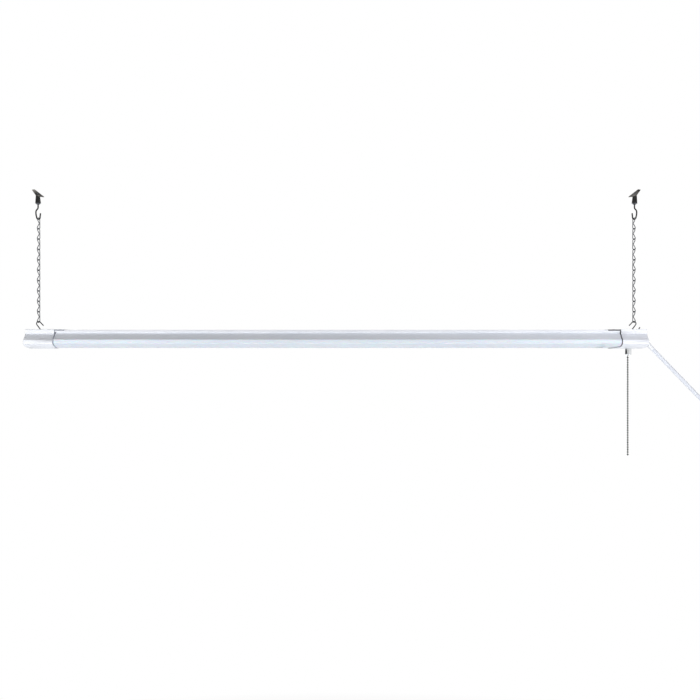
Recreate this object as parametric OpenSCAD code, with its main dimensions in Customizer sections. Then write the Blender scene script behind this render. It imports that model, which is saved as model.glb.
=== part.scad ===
// Hanging shop light: a linear lamp with moulded end caps, hung on two jack
// chains from toggle hooks, with a pull switch and a supply cord.
// Millimetres. The origin lies on the underside of the ceiling, halfway between
// the two hooks. +X runs along the light to the switch end, -Y faces the viewer.

/* [Ceiling hooks] */
// Distance of each hanging point from its end of the light
hanger_inset = 20; // [19:0.5:22]
// Ceiling to the middle of the wire at the bottom of the hook
hook_drop = 31.6; // [29:0.2:40]
// Wire thickness of the hook
hook_wire = 2.6; // [2:0.1:3]
// Radius of the bottom bend of the hook, at the middle of the wire
hook_bend_r = 3.1; // [3.1:0.1:5]
// Flange width of the collar under the ceiling
collar_d = 11.6; // [9:0.2:16]
// Height of the collar
collar_h = 3.3; // [2.6:0.1:5]
// Height of the toggle pin above the ceiling
pin_z = 18; // [17:0.5:24]
// Thickness of the toggle pin
pin_d = 1.8; // [1.4:0.1:2.2]
// Sheet thickness of the yoke
yoke_t = 1; // [0.8:0.1:1.4]
// Width of the yoke's foot
yoke_foot_w = 10; // [8:0.2:11]
// Clear width between the two cheeks of the yoke
yoke_gap = 4.4; // [3.6:0.2:6]
// Sheet thickness of the toggle
toggle_t = 0.6; // [0.5:0.1:0.8]
// Slope of the toggle
toggle_slope = 38; // [30:1:45]

/* [Chains] */
// Height that each link adds
link_pitch = 20.2; // [18:0.2:24]
// Wire thickness of a link
link_wire = 1.6; // [1.4:0.1:1.8]
// Width of a link's loop, at the middle of the wire
loop_w = 6.6; // [6.2:0.1:8]
// Turn of the lower loop away from the length of the light
loop_turn = 30; // [20:1:40]

/* [S-hooks] */
// Wire thickness of the S-hook
s_wire = 2; // [1.8:0.1:2.4]
// Radius of its upper bend, at the middle of the wire
s_upper_r = 4.2; // [4:0.1:5]
// Radius of its lower bend, at the middle of the wire
s_lower_r = 5.8; // [5.4:0.1:6.4]
// Length of its straight middle
s_shank = 11.2; // [8:0.2:14]
// Length of the open lower end, on the right
s_tip = 12.5; // [8:0.5:13]
// Length of the lower end on the left, where it is bent shut
left_s_tip = 8; // [6:0.5:13]

/* [Body] */
// Overall length of the light
light_len = 1200; // [1180:5:1300]
// Width over the two shoulders
body_w = 109; // [100:1:120]
// Width of the raised top
lip_w = 64; // [60:1:70]
// Height of the edge of the raised top
lip_h = 4.6; // [4:0.2:7]
// Width of the neck under the raised top
neck_w = 52; // [46:1:56]
// Depth of the neck below the top
neck_z = 5.6; // [5.4:0.1:8]
// Depth of the shoulders below the top
shoulder_z = 18.8; // [18:0.2:24]
// Height of the upright sides
side_h = 7.2; // [4:0.2:8]
// Drop of the curved lens below the sides
lens_sag = 9; // [7:0.5:14]
// Sheet thickness of the housing
sheet_t = 1.2; // [0.8:0.1:1.6]
// Wall thickness of the lens
lens_t = 1.5; // [1.2:0.1:2.5]

/* [End caps] */
// Length of the left end cap
left_cap_len = 56; // [50:1:70]
// Length of the right end cap
right_cap_len = 50; // [46:1:60]
// How far the caps stand out past the body
cap_proud = 1.3; // [1:0.1:2]
// Height of the caps' raised top edge
cap_lip_h = 6.2; // [5:0.2:9]
// Wall thickness of the caps
cap_wall = 2; // [1.6:0.1:3]
// Length over which the caps' underside is rounded up towards their closed ends
cap_round = 9; // [4:0.5:12]
// Thickness of the bar that hangs in the S-hook
bar_d = 5.6; // [5:0.1:6.4]
// Depth of that bar below the top of the cap
bar_depth = 2.6; // [2:0.1:5]
// Length of the hook pocket, along the light
pocket_len = 21; // [19:0.5:24]
// Width of the hook pocket, across the light
pocket_w = 18; // [16:0.5:24]
// Thickness of the dark end bracket
bracket_t = 2; // [1:0.1:2.4]
// Length of the left bracket's tab on top of the body
left_tab_len = 19; // [14:1:30]
// Length of the right bracket's tab
right_tab_len = 25; // [14:1:30]
// Reach of the right cap's lip under the lens
lip_reach = 20; // [10:1:26]
// Head width of the bracket screws
screw_head_d = 5; // [4:0.2:7]

/* [Lamp boards] */
// Width of each lamp board
led_board_w = 18; // [14:1:24]
// Distance of each board's middle from the middle of the light
led_board_y = 27; // [22:1:32]
// Spacing of the light-emitting chips
chip_pitch = 24; // [16:1:40]
// Width of one chip
chip_w = 3.5; // [2.8:0.1:5]

/* [Driver] */
// Length of the driver board
driver_len = 170; // [150:5:220]
// Width of the driver board
driver_w = 34; // [30:1:40]

/* [Pull switch] */
// Distance of the pull switch from the right end
switch_inset = 31; // [30:0.5:33]
// Outside width of the chromed ferrule
ferrule_d = 12.8; // [11:0.2:15]
// How far the ferrule hangs below the cap
ferrule_h = 12.4; // [10:0.2:16]
// Thickness of the threaded bushing
bushing_d = 9; // [8:0.2:10]
// Travel of the pull
pull_travel = 7; // [4:0.5:9]
// Width of one bead
bead_d = 3.2; // [2.4:0.1:4]
// Spacing of the beads
bead_pitch = 4.72; // [4.4:0.02:6]
// Number of beads
bead_count = 41; // [20:1:60]

/* [Cord] */
// Thickness of the supply cord
cord_d = 7.6; // [6:0.2:7.8]
// Steepness of the cord where it leaves the cap
cord_slope = 46; // [40:0.2:50]
// Length of the tapered strain relief outside the cap
relief_len = 24; // [20:1:30]
// Thickness of the strain relief in its seat
relief_d = 10; // [9.4:0.2:11]
// Height of one run of the hank between its folds
hank_run = 118; // [116:1:130]
// Radius of the folds of the hank
hank_fold_r = 24; // [23.4:0.2:26]
// How far the runs are drawn in at the tie
hank_draw = 12; // [8:0.5:14]
// Sideways step from one turn of the hank to the next
hank_step = 8.8; // [8.4:0.1:9.2]
// Height of the tie
tie_h = 14; // [8:1:20]

/* [Plug] */
// Length of the plug's grip
plug_len = 34; // [30:1:44]
// Width of the plug across its blades
plug_w = 27; // [25:1:32]
// Thickness of the plug
plug_t = 25; // [24:0.5:28]
// Radius of the round earth pin
earth_pin_r = 2.38; // [2.3:0.01:2.45]
// Length of the round earth pin
earth_pin_len = 19; // [18:0.5:21]

/* [Hidden] */
LINKS = 10;

// Clearances
hook_gap = 0.5;       // from the ceiling hook's wire to the first link's, at their mid planes
link_gap = 0.23;      // the same from link to link
s_gap = 0.4;          // the same from the last link to the S-hook
fit_gap = 0.1;        // between parts of the body that slip into each other
WIRE_STEP = 0.03;     // a straight length of wire is this much thinner than a bend,
WIRE_IN = 0.06;       // and reaches this far into it, so that the two are one wire
slip = 0.2;           // around parts that turn or slide
seat = 0.15;          // under a bar that rests in a bend

// The loops hang askew, so the wires find their seat a little aside of each other's middle
HOOK_SEAT = [0.3, -0.6];
S_SEAT_Y = 0.3;

// Heights, from the ceiling down
hook_z = -hook_drop;
link_top_z = hook_z + (hook_wire + link_wire) / 2 + hook_gap;
link_drop = link_pitch + link_wire + link_gap;      // from a link's upper bearing to its lower
last_link_z = link_top_z - (LINKS - 1) * link_pitch - link_drop;
s_top_z = last_link_z + (link_wire + s_wire) / 2 + s_gap;
s_upper_z = s_top_z - s_upper_r;
S_LEAN = 38;          // how far the shank leans off upright
S_OPEN = 45;          // slope of the open upper end
S_TIP_LEAN = 30;      // how far the open lower end leans off upright
S_FREE = 10;          // length of the open upper end
s_lower_x = (s_upper_r + s_lower_r) * cos(S_LEAN) - s_shank * sin(S_LEAN);
s_lower_z = s_upper_z - (s_upper_r + s_lower_r) * sin(S_LEAN) - s_shank * cos(S_LEAN);
s_turn = -loop_turn;  // turn of the S-hook, across the last loop
bar_x = s_lower_x * cos(s_turn);
// Small lean that brings the bottom of the S-hook under the middle of the chain
s_off_y = s_lower_x * sin(-s_turn) - S_SEAT_Y;
s_level = asin(s_off_y / norm([s_off_y, s_top_z - s_lower_z + s_lower_r]));
bar_z = s_lower_z - s_lower_r + (s_wire + bar_d) / 2 + seat;
cap_top_z = bar_z + bar_d / 2 + bar_depth;
body_top_z = cap_top_z - cap_proud;
side_z = shoulder_z + side_h;
shoulder_slope = (shoulder_z - neck_z) / (body_w / 2 - neck_w / 2);
body_depth = side_z + lens_sag;
lens_r = (pow(body_w / 2, 2) + pow(lens_sag, 2)) / (2 * lens_sag);
LENS_SIDES = 240;     // sides of the full circle that the lens is cut from

// Lengths
end_x = light_len / 2;
hang_x = end_x - hanger_inset;          // the two hooks stand 2 * hang_x apart
left_joint_x = -end_x + left_cap_len;
right_joint_x = end_x - right_cap_len;
body_x0 = left_joint_x + bracket_t;
body_x1 = right_joint_x - bracket_t;
body_mid_x = (body_x0 + body_x1) / 2;
body_len = body_x1 - body_x0;

$fn = 32;

// ---------------------------------------------------------------- helpers

// A corner b moved out by e, where its two sides meet again
function moved(a, b, c, e) =
    let (u = (b - a) / norm(b - a), v = (c - b) / norm(c - b), m = [u.y, -u.x], n = [v.y, -v.x])
    b + (m + n) * e / (1 + m * n);

// A closed outline, anticlockwise, moved out by e all round
function grown(pts, e) =
    let (n = len(pts))
    [for (i = [0 : n - 1]) moved(pts[(i + n - 1) % n], pts[i], pts[(i + 1) % n], e)];

// Both halves of an outline that is given on its +Y side, from the bottom up
function both_sides(half) =
    concat(half, [for (i = [len(half) - 1 : -1 : 0]) [-half[i].x, half[i].y]]);

// The body's outline down to depth low at half width half, without the curve of the lens
function body_outline(lip, low, half) = both_sides([
    [half, -low], [half, -neck_z - lip + lip_h - (half - neck_w / 2) * shoulder_slope],
    [neck_w / 2, -neck_z - lip + lip_h], [lip_w / 2, -lip], [lip_w / 2, 0]]);

// An outline in Y and Z, carried along X from x0 to x1
module along_x(x0, x1) {
    translate([x0, 0, body_top_z]) rotate([90, 0, 90]) linear_extrude(x1 - x0) children();
}

// The round underside of the body, grown by e
module lens_round(x0, x1, e) {
    translate([x0, 0, body_top_z - body_depth + lens_r]) rotate([0, 90, 0])
        cylinder(r = lens_r + e, h = x1 - x0, $fn = LENS_SIDES);
}

// The body as a solid, with its outline moved out by e
module body_solid(x0, x1, lip, e) {
    intersection() {
        along_x(x0, x1) polygon(grown(body_outline(lip, body_depth + cap_wall, body_w / 2), e));
        lens_round(x0 - 1, x1 + 1, e);
    }
}

// The wire bend about the Y axis through the origin, from angle a0 through sweep
module bend(r, wire, a0, sweep) {
    rotate([90, 0, 0]) rotate([0, 0, a0]) rotate_extrude(angle = sweep)
        translate([r, 0]) circle(d = wire);
}

// A bend that is a little thinner than its neighbours and reaches into them
module thin_bend(r, wire, a0, sweep) {
    more = WIRE_IN / r * 180 / PI;
    bend(r, wire - WIRE_STEP, a0 - more, sweep + 2 * more);
}

// A straight wire from point a to point b
module rod(a, b, wire) {
    d = b - a;
    translate(a - d / norm(d) * WIRE_IN) rotate([0, acos(d.z / norm(d)), atan2(d.y, d.x)])
        cylinder(d = wire - WIRE_STEP, h = norm(d) + 2 * WIRE_IN);
}

// A round-cornered slab of height h that stands on z = 0
module round_slab(w, t, r, h) {
    for (x = [-1, 1], y = [-1, 1])
        translate([x * (w / 2 - r), y * (t / 2 - r), 0]) cylinder(r = r, h = h);
    translate([-w / 2 + r, -t / 2, 0]) cube([w - 2 * r, t, h]);
    translate([-w / 2, -t / 2 + r, 0]) cube([w, t - 2 * r, h]);
}

// Direction of a route at point i
function heading(p, i) =
    let (d = p[min(i + 1, len(p) - 1)] - p[max(i - 1, 0)]) d / norm(d);

// A closed tube of the given sides along the points p, its ends square to them
module tube(p, wire, sides, side_dir = [0, 1, 0], first = undef, last = undef) {
    n = len(p);
    rings = [for (i = [0 : n - 1])
        let (t = (i == 0 && !is_undef(first)) ? first
                 : (i == n - 1 && !is_undef(last)) ? last : heading(p, i),
             u = cross(side_dir, t) / norm(cross(side_dir, t)), v = cross(t, u))
        for (k = [0 : sides - 1]) p[i] + (u * cos(360 * k / sides) + v * sin(360 * k / sides)) * wire / 2];
    faces = concat(
        [[for (k = [0 : sides - 1]) k]],
        [for (i = [0 : n - 2]) for (k = [0 : sides - 1])
            let (a = i * sides + k, b = i * sides + (k + 1) % sides)
            each [[a, a + sides, b], [b, a + sides, b + sides]]],
        [[for (k = [sides - 1 : -1 : 0]) (n - 1) * sides + k]]);
    polyhedron(rings, faces, convexity = 6);
}

// Moves what is drawn outward from x = 0 to the right or the left chain
module at_hanger(side, seat = [0, 0]) {
    if (side > 0) translate([hang_x + seat.x, seat.y, 0]) children();
    else mirror([1, 0, 0]) translate([hang_x + seat.x, seat.y, 0]) children();
}

// The same for what hangs the chain on the ceiling
module at_ceiling(side) {
    at_hanger(side, HOOK_SEAT) children();
}

// ---------------------------------------------------------- ceiling hooks

HOOK_GENTLE_R = 34.5;  // slow bend between the belly and the bottom bend
HOOK_GENTLE_A = 19.5;
HOOK_LEG_A = 6;        // lean of the open leg
HOOK_LEG = 9;          // length of the open leg
HOOK_UPPER_R = 5;      // first bend under the collar
HOOK_BELLY_R = 7.6;    // second bend, round the belly
hook_x = -0.6;         // the bottom bend stands this far inward of the rod
hook_c = [hook_x, 0, hook_z + hook_bend_r];
belly_x = hook_x + hook_bend_r * cos(HOOK_GENTLE_A) + HOOK_GENTLE_R * (1 - cos(HOOK_GENTLE_A));
belly_z = hook_c.z - hook_bend_r * sin(HOOK_GENTLE_A) + HOOK_GENTLE_R * sin(HOOK_GENTLE_A);
hook_s_a = acos(1 - belly_x / (HOOK_UPPER_R + HOOK_BELLY_R));
rod_low_z = belly_z + (HOOK_UPPER_R + HOOK_BELLY_R) * sin(hook_s_a);
rod_high_z = yoke_t + 7;
nut_w = 5;
nut_h = 3;
PIN_EAR_R = 1.8;       // rounding of the yoke's cheeks about the pin
TOGGLE_REACH = 2.66;   // height of the toggle's back above the pin

// The ceiling hook: a rod that bends into an open J
module ceiling_hook() {
    translate([-hook_x, 0, 0]) {
        rod([0, 0, rod_low_z], [0, 0, rod_high_z], hook_wire);
        translate([HOOK_UPPER_R, 0, rod_low_z]) bend(HOOK_UPPER_R, hook_wire, 180, hook_s_a);
        translate([belly_x - HOOK_BELLY_R, 0, belly_z])
            thin_bend(HOOK_BELLY_R, hook_wire, 0, hook_s_a);
        translate([belly_x - HOOK_GENTLE_R, 0, belly_z])
            bend(HOOK_GENTLE_R, hook_wire, -HOOK_GENTLE_A, HOOK_GENTLE_A);
        translate(hook_c)
            thin_bend(hook_bend_r, hook_wire, 180 + HOOK_LEG_A, 180 - HOOK_LEG_A - HOOK_GENTLE_A);
        leg = hook_c + hook_bend_r * [-cos(HOOK_LEG_A), 0, -sin(HOOK_LEG_A)];
        rod(leg, leg + HOOK_LEG * [-sin(HOOK_LEG_A), 0, cos(HOOK_LEG_A)], hook_wire - WIRE_STEP);
        // Square nut that keeps the rod in the yoke
        translate([-nut_w / 2, -min(nut_w, yoke_gap - slip) / 2, yoke_t])
            cube([nut_w, min(nut_w, yoke_gap - slip), nut_h]);
    }
}

// The collar: a flange against the ceiling that tapers down to the rod
module hook_collar() {
    flange_h = 1;
    translate([-hook_x, 0, 0]) difference() {
        union() {
            translate([0, 0, -flange_h]) cylinder(d = collar_d, h = flange_h);
            translate([0, 0, -collar_h])
                cylinder(d1 = hook_wire + 2.6, d2 = collar_d - 1.6, h = collar_h - flange_h);
        }
        translate([0, 0, -collar_h - 1]) cylinder(d = hook_wire, h = collar_h + 2);
    }
}

// The yoke: two tapered cheeks on a foot, with the toggle's pin at the top
module toggle_yoke() {
    outer = yoke_gap / 2 + yoke_t;
    cheek_z = pin_z - 3.4;
    translate([-hook_x, 0, 0]) {
        difference() {
            for (y = [-outer, outer - yoke_t])
                translate([0, y + yoke_t, 0]) rotate([90, 0, 0]) linear_extrude(yoke_t) union() {
                    polygon([[-yoke_foot_w / 2, 0], [yoke_foot_w / 2, 0], [yoke_foot_w / 2 - 0.9, cheek_z],
                             [PIN_EAR_R, pin_z - 1], [PIN_EAR_R, pin_z], [-PIN_EAR_R, pin_z],
                             [-PIN_EAR_R, pin_z - 1], [-yoke_foot_w / 2 + 1.9, cheek_z]]);
                    translate([0, pin_z]) circle(r = PIN_EAR_R);
                }
            translate([0, outer + 1, pin_z]) rotate([90, 0, 0]) cylinder(d = pin_d, h = 2 * outer + 2);
        }
        difference() {
            translate([-yoke_foot_w / 2, -yoke_gap / 2, 0]) cube([yoke_foot_w, yoke_gap, yoke_t]);
            translate([0, 0, -1]) cylinder(d = hook_wire, h = yoke_t + 2);
        }
    }
}

toggle_in = yoke_gap / 2 + yoke_t + slip;      // inside of the toggle's side walls
toggle_out = toggle_in + toggle_t;

// The pin the toggle turns on, headed at both ends
module toggle_pin() {
    head = 0.7;
    reach = toggle_out + slip;
    translate([-hook_x, 0, pin_z]) rotate([90, 0, 0]) {
        translate([0, 0, -reach]) cylinder(d = pin_d, h = 2 * reach);
        translate([0, 0, reach]) cylinder(d = pin_d + 1.4, h = head);
        translate([0, 0, -reach - head]) cylinder(d = pin_d + 1.4, h = head);
    }
}

// The toggle: a channel of bent sheet that turns on the pin
module toggle_bar() {
    // Side wall, along and above the pin, from the low inner tip to the high outer end
    wall = [[-12.6, TOGGLE_REACH], [-12.3, 1.3], [-6, -2.4], [-1.2, -4.7], [1.6, -5],
            [13.3, -1.5], [13.3, -0.5], [10.2, TOGGLE_REACH]];
    translate([-hook_x, 0, pin_z]) rotate([0, -toggle_slope, 0]) difference() {
        union() {
            for (y = [-toggle_out, toggle_in]) translate([0, y + toggle_t, 0])
                rotate([90, 0, 0]) linear_extrude(toggle_t) polygon(wall);
            translate([-12.6, -toggle_out, TOGGLE_REACH - toggle_t])
                cube([22.8, 2 * toggle_out, toggle_t]);
        }
        translate([0, toggle_out + 1, 0]) rotate([90, 0, 0])
            cylinder(d = pin_d + slip, h = 2 * toggle_out + 2);
    }
}

// ------------------------------------------------------------------ chain

loop_r = loop_w / 2;
// A link's own height at the middle of the wire: its two bearings stand a quarter turn apart
link_h = sqrt(pow(link_drop, 2) - 2 * pow(loop_r, 2));
loop_c = link_h / 2 - loop_r;           // height of a loop's centre above the middle of the link
waist = link_wire + 0.2;                // distance of the wire's ends from the straight side
// The end of the wire leans in so that it comes back to the waist at mid height
leg_a = atan((loop_r - waist) / loop_c)
      + asin(loop_r / sqrt(pow(loop_c, 2) + pow(loop_r - waist, 2)));
leg_len = (loop_c - loop_r * sin(leg_a)) / cos(leg_a);
// Level place of the centre of the upper and the lower loop, seen from the straight side
upper_at = loop_r * [cos(loop_turn - 90), sin(loop_turn - 90)];
lower_at = loop_r * [cos(loop_turn), sin(loop_turn)];

// One loop with its end, standing above z = 0 and reaching towards +X
module half_link() {
    translate([loop_r, 0, loop_c]) bend(loop_r, link_wire, -leg_a, 180 + leg_a);
    foot = [loop_r, 0, loop_c] + loop_r * [cos(leg_a), 0, -sin(leg_a)];
    rod(foot, foot - leg_len * [sin(leg_a), 0, cos(leg_a)], link_wire);
}

// One jack-chain link: a straight side with a loop at each end, a quarter turn apart
module plain_link() {
    rod([0, 0, -loop_c], [0, 0, loop_c], link_wire);
    rotate([0, 0, loop_turn - 90]) half_link();
    rotate([0, 0, loop_turn]) mirror([0, 0, 1]) half_link();
}

// The link turned so that it hangs with its two bearing points on one plumb line
module hung_link() {
    span = lower_at - upper_at;
    mid = (lower_at + upper_at) / 2;
    translate([0, 0, -link_drop / 2])
        rotate([0, 0, atan2(span.y, span.x)]) rotate([0, atan2(norm(span), link_h), 0])
            rotate([0, 0, -atan2(span.y, span.x)]) translate([-mid.x, -mid.y, 0]) plain_link();
}

// Link i of the chain, the first one in the ceiling hook
module chain_link(i) {
    translate([0, 0, link_top_z - (i - 1) * link_pitch]) hung_link();
}

// The S-hook between the last link and the bar in the end cap
module s_hook(tip_len) {
    upper = [0, 0, s_upper_z];
    lower = [s_lower_x, 0, s_lower_z];
    free = upper + s_upper_r * [-sin(S_OPEN), 0, cos(S_OPEN)];
    shank = upper + s_upper_r * [cos(S_LEAN), 0, -sin(S_LEAN)];
    tip = lower + s_lower_r * [cos(S_TIP_LEAN), 0, -sin(S_TIP_LEAN)];
    translate([0, S_SEAT_Y, s_top_z]) rotate([s_level, 0, 0]) translate([0, 0, -s_top_z])
    rotate([0, 0, s_turn]) {
        rod(free, free - S_FREE * [cos(S_OPEN), 0, sin(S_OPEN)], s_wire);
        translate(upper) bend(s_upper_r, s_wire, -S_LEAN, 90 + S_LEAN + S_OPEN);
        rod(shank, shank - s_shank * [sin(S_LEAN), 0, cos(S_LEAN)], s_wire);
        translate(lower) bend(s_lower_r, s_wire, 180 - S_LEAN, 180 + S_LEAN - S_TIP_LEAN);
        rod(tip, tip + tip_len * [sin(S_TIP_LEAN), 0, cos(S_TIP_LEAN)], s_wire);
    }
}

// ------------------------------------------------------------------- body

housing_half = body_w / 2 - lens_t - fit_gap;    // half width over the housing's flanges
// Depth of the inner face of the lens at distance y from the middle
function lens_inside(y) = body_depth - lens_r + sqrt(pow(lens_r - lens_t, 2) - y * y);

// The housing: one bent sheet with a raised top, sloping shoulders and a flange down each side
module housing() {
    flange_z = lens_inside(housing_half) - fit_gap;
    outer = body_outline(lip_h, flange_z, housing_half);
    inner = grown(body_outline(lip_h, flange_z + 2 * sheet_t, housing_half), -sheet_t);
    difference() {
        along_x(body_x0, body_x1) polygon(outer);
        along_x(body_x0 - 1, body_x1 + 1) polygon(inner);
        bracket_holes();
    }
}

// The holes of the four bracket screws
module bracket_holes() {
    for (x = [left_joint_x + left_tab_len / 2, right_joint_x - right_tab_len / 2], y = [-SCREW_Y, SCREW_Y])
        translate([x, y, body_top_z - 5]) cylinder(d = 2.6, h = 10);
}

// The lens: a shallow curved diffuser whose upright sides close over the housing's flanges
module lens() {
    side_top = neck_z + (body_w / 2 - lens_t - neck_w / 2) * shoulder_slope + fit_gap;
    difference() {
        intersection() {
            along_x(body_x0, body_x1)
                translate([-body_w / 2, -body_depth - 1]) square([body_w, body_depth + 1 - side_top]);
            lens_round(body_x0 - 1, body_x1 + 1, 0);
        }
        intersection() {
            along_x(body_x0 - 1, body_x1 + 1)
                translate([-body_w / 2 + lens_t, -body_depth]) square([body_w - 2 * lens_t, body_depth]);
            lens_round(body_x0 - 2, body_x1 + 2, -lens_t);
        }
    }
}

tray_half = housing_half - sheet_t - fit_gap;    // half width of the tray
tray_z = shoulder_z;                             // top of the tray below the body's top

// The tray that carries the lamp boards and closes off the driver above it
module reflector_tray() {
    lip = 4;
    along_x(body_x0, body_x1) translate([-tray_half, -tray_z - sheet_t]) square([2 * tray_half, sheet_t]);
    for (s = [-1, 1]) along_x(body_x0, body_x1)
        translate([s > 0 ? tray_half - sheet_t : -tray_half, -tray_z - lip]) square([sheet_t, lip]);
}

BOARD_T = 1.6;
BOARD_END_GAP = 12;
board_top = tray_z + sheet_t;

// A lamp board under the tray, on the rear (s = 1) or the front (s = -1)
module led_board(s) {
    along_x(body_x0 + BOARD_END_GAP, body_x1 - BOARD_END_GAP)
        translate([s * led_board_y - led_board_w / 2, -board_top - BOARD_T]) square([led_board_w, BOARD_T]);
}

// The light-emitting chips of both boards
module leds() {
    chip_h = 0.8;
    count = floor((body_len - 2 * BOARD_END_GAP - chip_w) / chip_pitch) + 1;
    for (s = [-1, 1], i = [0 : count - 1])
        translate([body_mid_x + (i - (count - 1) / 2) * chip_pitch - chip_w / 2,
                   s * led_board_y - chip_w / 2, body_top_z - board_top - BOARD_T - chip_h])
            cube([chip_w, chip_w, chip_h]);
}

driver_x = body_x1 - 40 - driver_len;            // left end of the driver
SHEET_PAD = 0.5;                                 // thickness of the insulating sheet
STANDOFF = 1.6;                                  // solder side clearance
driver_z = body_top_z - tray_z + SHEET_PAD;      // top of the insulating sheet

// The insulating sheet that lies on the tray under the driver
module driver_insulator() {
    margin = 4;
    translate([driver_x - margin, -driver_w / 2 - margin, body_top_z - tray_z])
        cube([driver_len + 2 * margin, driver_w + 2 * margin, SHEET_PAD]);
}

// The driver's circuit board on its four feet
module driver_board() {
    foot = 5;
    translate([driver_x, -driver_w / 2, driver_z + STANDOFF]) cube([driver_len, driver_w, BOARD_T]);
    for (x = [driver_x + foot, driver_x + driver_len - foot], s = [-1, 1])
        translate([x, s * (driver_w / 2 - foot), driver_z]) cylinder(d = foot, h = STANDOFF);
}

TERMINAL_IN = 11;                                // terminal block, from the board's right end
TERMINAL_L = 10;
TERMINAL_H = 8;

// What stands on the board: transformer, choke, capacitors and a terminal block
module driver_parts() {
    z = driver_z + STANDOFF + BOARD_T;
    // A block about the middle line, its centre at share u of the board's length
    module block(u, size) {
        translate([driver_x + u * driver_len - size.x / 2, -size.y / 2, z]) cube(size);
    }
    block(0.49, [28, driver_w * 0.65, 11]);
    block(0.49, [36, driver_w * 0.47, 4]);
    block(0.74, [16, driver_w * 0.41, 9]);
    for (u = [0.2, 0.29]) translate([driver_x + u * driver_len, driver_w * 0.3, z + 5])
        rotate([90, 0, 0]) cylinder(d = 10, h = driver_w * 0.6);
    block((driver_len - TERMINAL_IN) / driver_len, [TERMINAL_L, driver_w * 0.7, TERMINAL_H]);
    block(0.062, [9, driver_w * 0.53, 8]);
}

// --------------------------------------------------------------- end caps

pocket_z = s_lower_z - s_lower_r - s_wire / 2 - 2.6;   // floor of the pocket
CAP_RISE = 6;                           // height of the rounding at the caps' closed ends
TAB_T = 0.8;                            // thickness of the bracket's tab
TAB_FOLD = 1.6;                         // depth of its edges, folded down over the raised top
BRACKET_EDGE = 0.5;                     // how far the brackets stand out past the body
LIP_HALF = 47;                          // half width of the lip under the lens
SCREW_Y = 20;                           // from the middle line to a bracket's screw
switch_x = end_x - switch_inset;
switch_pad_z = body_top_z - body_depth - cap_proud + cap_wall + 1.2;
spot_z = body_top_z - body_depth - cap_proud + 0.5;

// The form of a cap, moved out by e, its underside rounded up towards the end at x1
module cap_form(x0, x1, e) {
    low = body_top_z - body_depth - e;
    up = [for (p = [[1, 0], [0.74, 0.04], [0.5, 0.13], [0.27, 0.3], [0.1, 0.55], [0, 0.85]])
        [x1 - p.x * cap_round, low + p.y * CAP_RISE]];
    intersection() {
        body_solid(x0, x1, cap_lip_h, e);
        translate([0, body_w, 0]) rotate([90, 0, 0]) linear_extrude(2 * body_w)
            polygon(concat([[x0 - 1, low - 1]], up, [[x1, body_top_z + 9], [x0 - 1, body_top_z + 9]]));
    }
}

// A hollow end cap from x0 to its closed end at x1
module cap_shell(x0, x1) {
    hook_c_x = hang_x + bar_x + 1.2;
    difference() {
        union() {
            difference() {
                cap_form(x0, x1, cap_proud);
                cap_form(x0 - 1, x1 - cap_wall, cap_proud - cap_wall);
            }
            translate([hook_c_x - pocket_len / 2 - cap_wall, -pocket_w / 2 - cap_wall, pocket_z - cap_wall])
                cube([pocket_len + 2 * cap_wall, pocket_w + 2 * cap_wall, cap_top_z - pocket_z]);
        }
        translate([hook_c_x - pocket_len / 2, -pocket_w / 2, pocket_z])
            cube([pocket_len, pocket_w, cap_top_z - pocket_z + 1]);
    }
    // The bar that hangs in the S-hook
    translate([hang_x + bar_x, pocket_w / 2 + cap_wall / 2, bar_z]) rotate([90, 0, 0])
        cylinder(d = bar_d, h = pocket_w + cap_wall);
}

relief_dir = [cos(cord_slope), 0, -sin(cord_slope)];
RELIEF_SEAT = 7;                        // depth of the strain relief's seat
RELIEF_DROP = 20;                       // height of the body's top over the cord's exit
relief_at = [end_x, 0, body_top_z - RELIEF_DROP];

// The seat of the strain relief, or its bore, along the cord's axis
module relief_barrel(d, back, ahead) {
    translate(relief_at - back * relief_dir) rotate([0, 90 + cord_slope, 0])
        cylinder(d = d, h = back + ahead);
}

module left_end_cap() {
    mirror([1, 0, 0]) cap_shell(-left_joint_x, end_x);
}

// A curved tongue under the lens that tapers away from the joint, between offsets e0 and e1
module under_lens(joint, reach, e0, e1) {
    wide = LIP_HALF;
    difference() {
        intersection() {
            body_solid(joint - reach - 1, joint + 1, lip_h, e1);
            translate([0, 0, body_top_z - body_depth - 3]) linear_extrude(lens_sag + 2)
                polygon(concat([[joint + 0.5, wide], [joint + 0.5, -wide]],
                    [for (i = [0 : 24]) let (y = wide * (i / 12 - 1))
                        [joint - reach * pow(max(0, 1 + cos(180 * y / wide)) / 2, 1.5), y]]));
        }
        body_solid(joint - reach - 2, joint + 2, lip_h, e0);
    }
}

module right_end_cap() {
    difference() {
        union() {
            cap_shell(right_joint_x, end_x);
            intersection() {
                union() {
                    relief_barrel(relief_d + 4, RELIEF_SEAT - 1, 12);
                    translate([switch_x, 0, switch_pad_z - 6]) cylinder(d = bushing_d + 8, h = 6);
                }
                body_solid(right_joint_x, end_x, cap_lip_h, cap_proud - cap_wall / 2);
            }
            under_lens(right_joint_x, lip_reach, BRACKET_EDGE + fit_gap, cap_proud);
        }
        relief_barrel(relief_d + 2 * fit_gap, RELIEF_SEAT + 1, 14);
        translate([switch_x, 0, switch_pad_z - 8]) cylinder(d = bushing_d + 2 * fit_gap, h = 12);
        translate([switch_x, 0, spot_z - 4]) cylinder(d = ferrule_d + slip, h = 4);
    }
}

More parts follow.
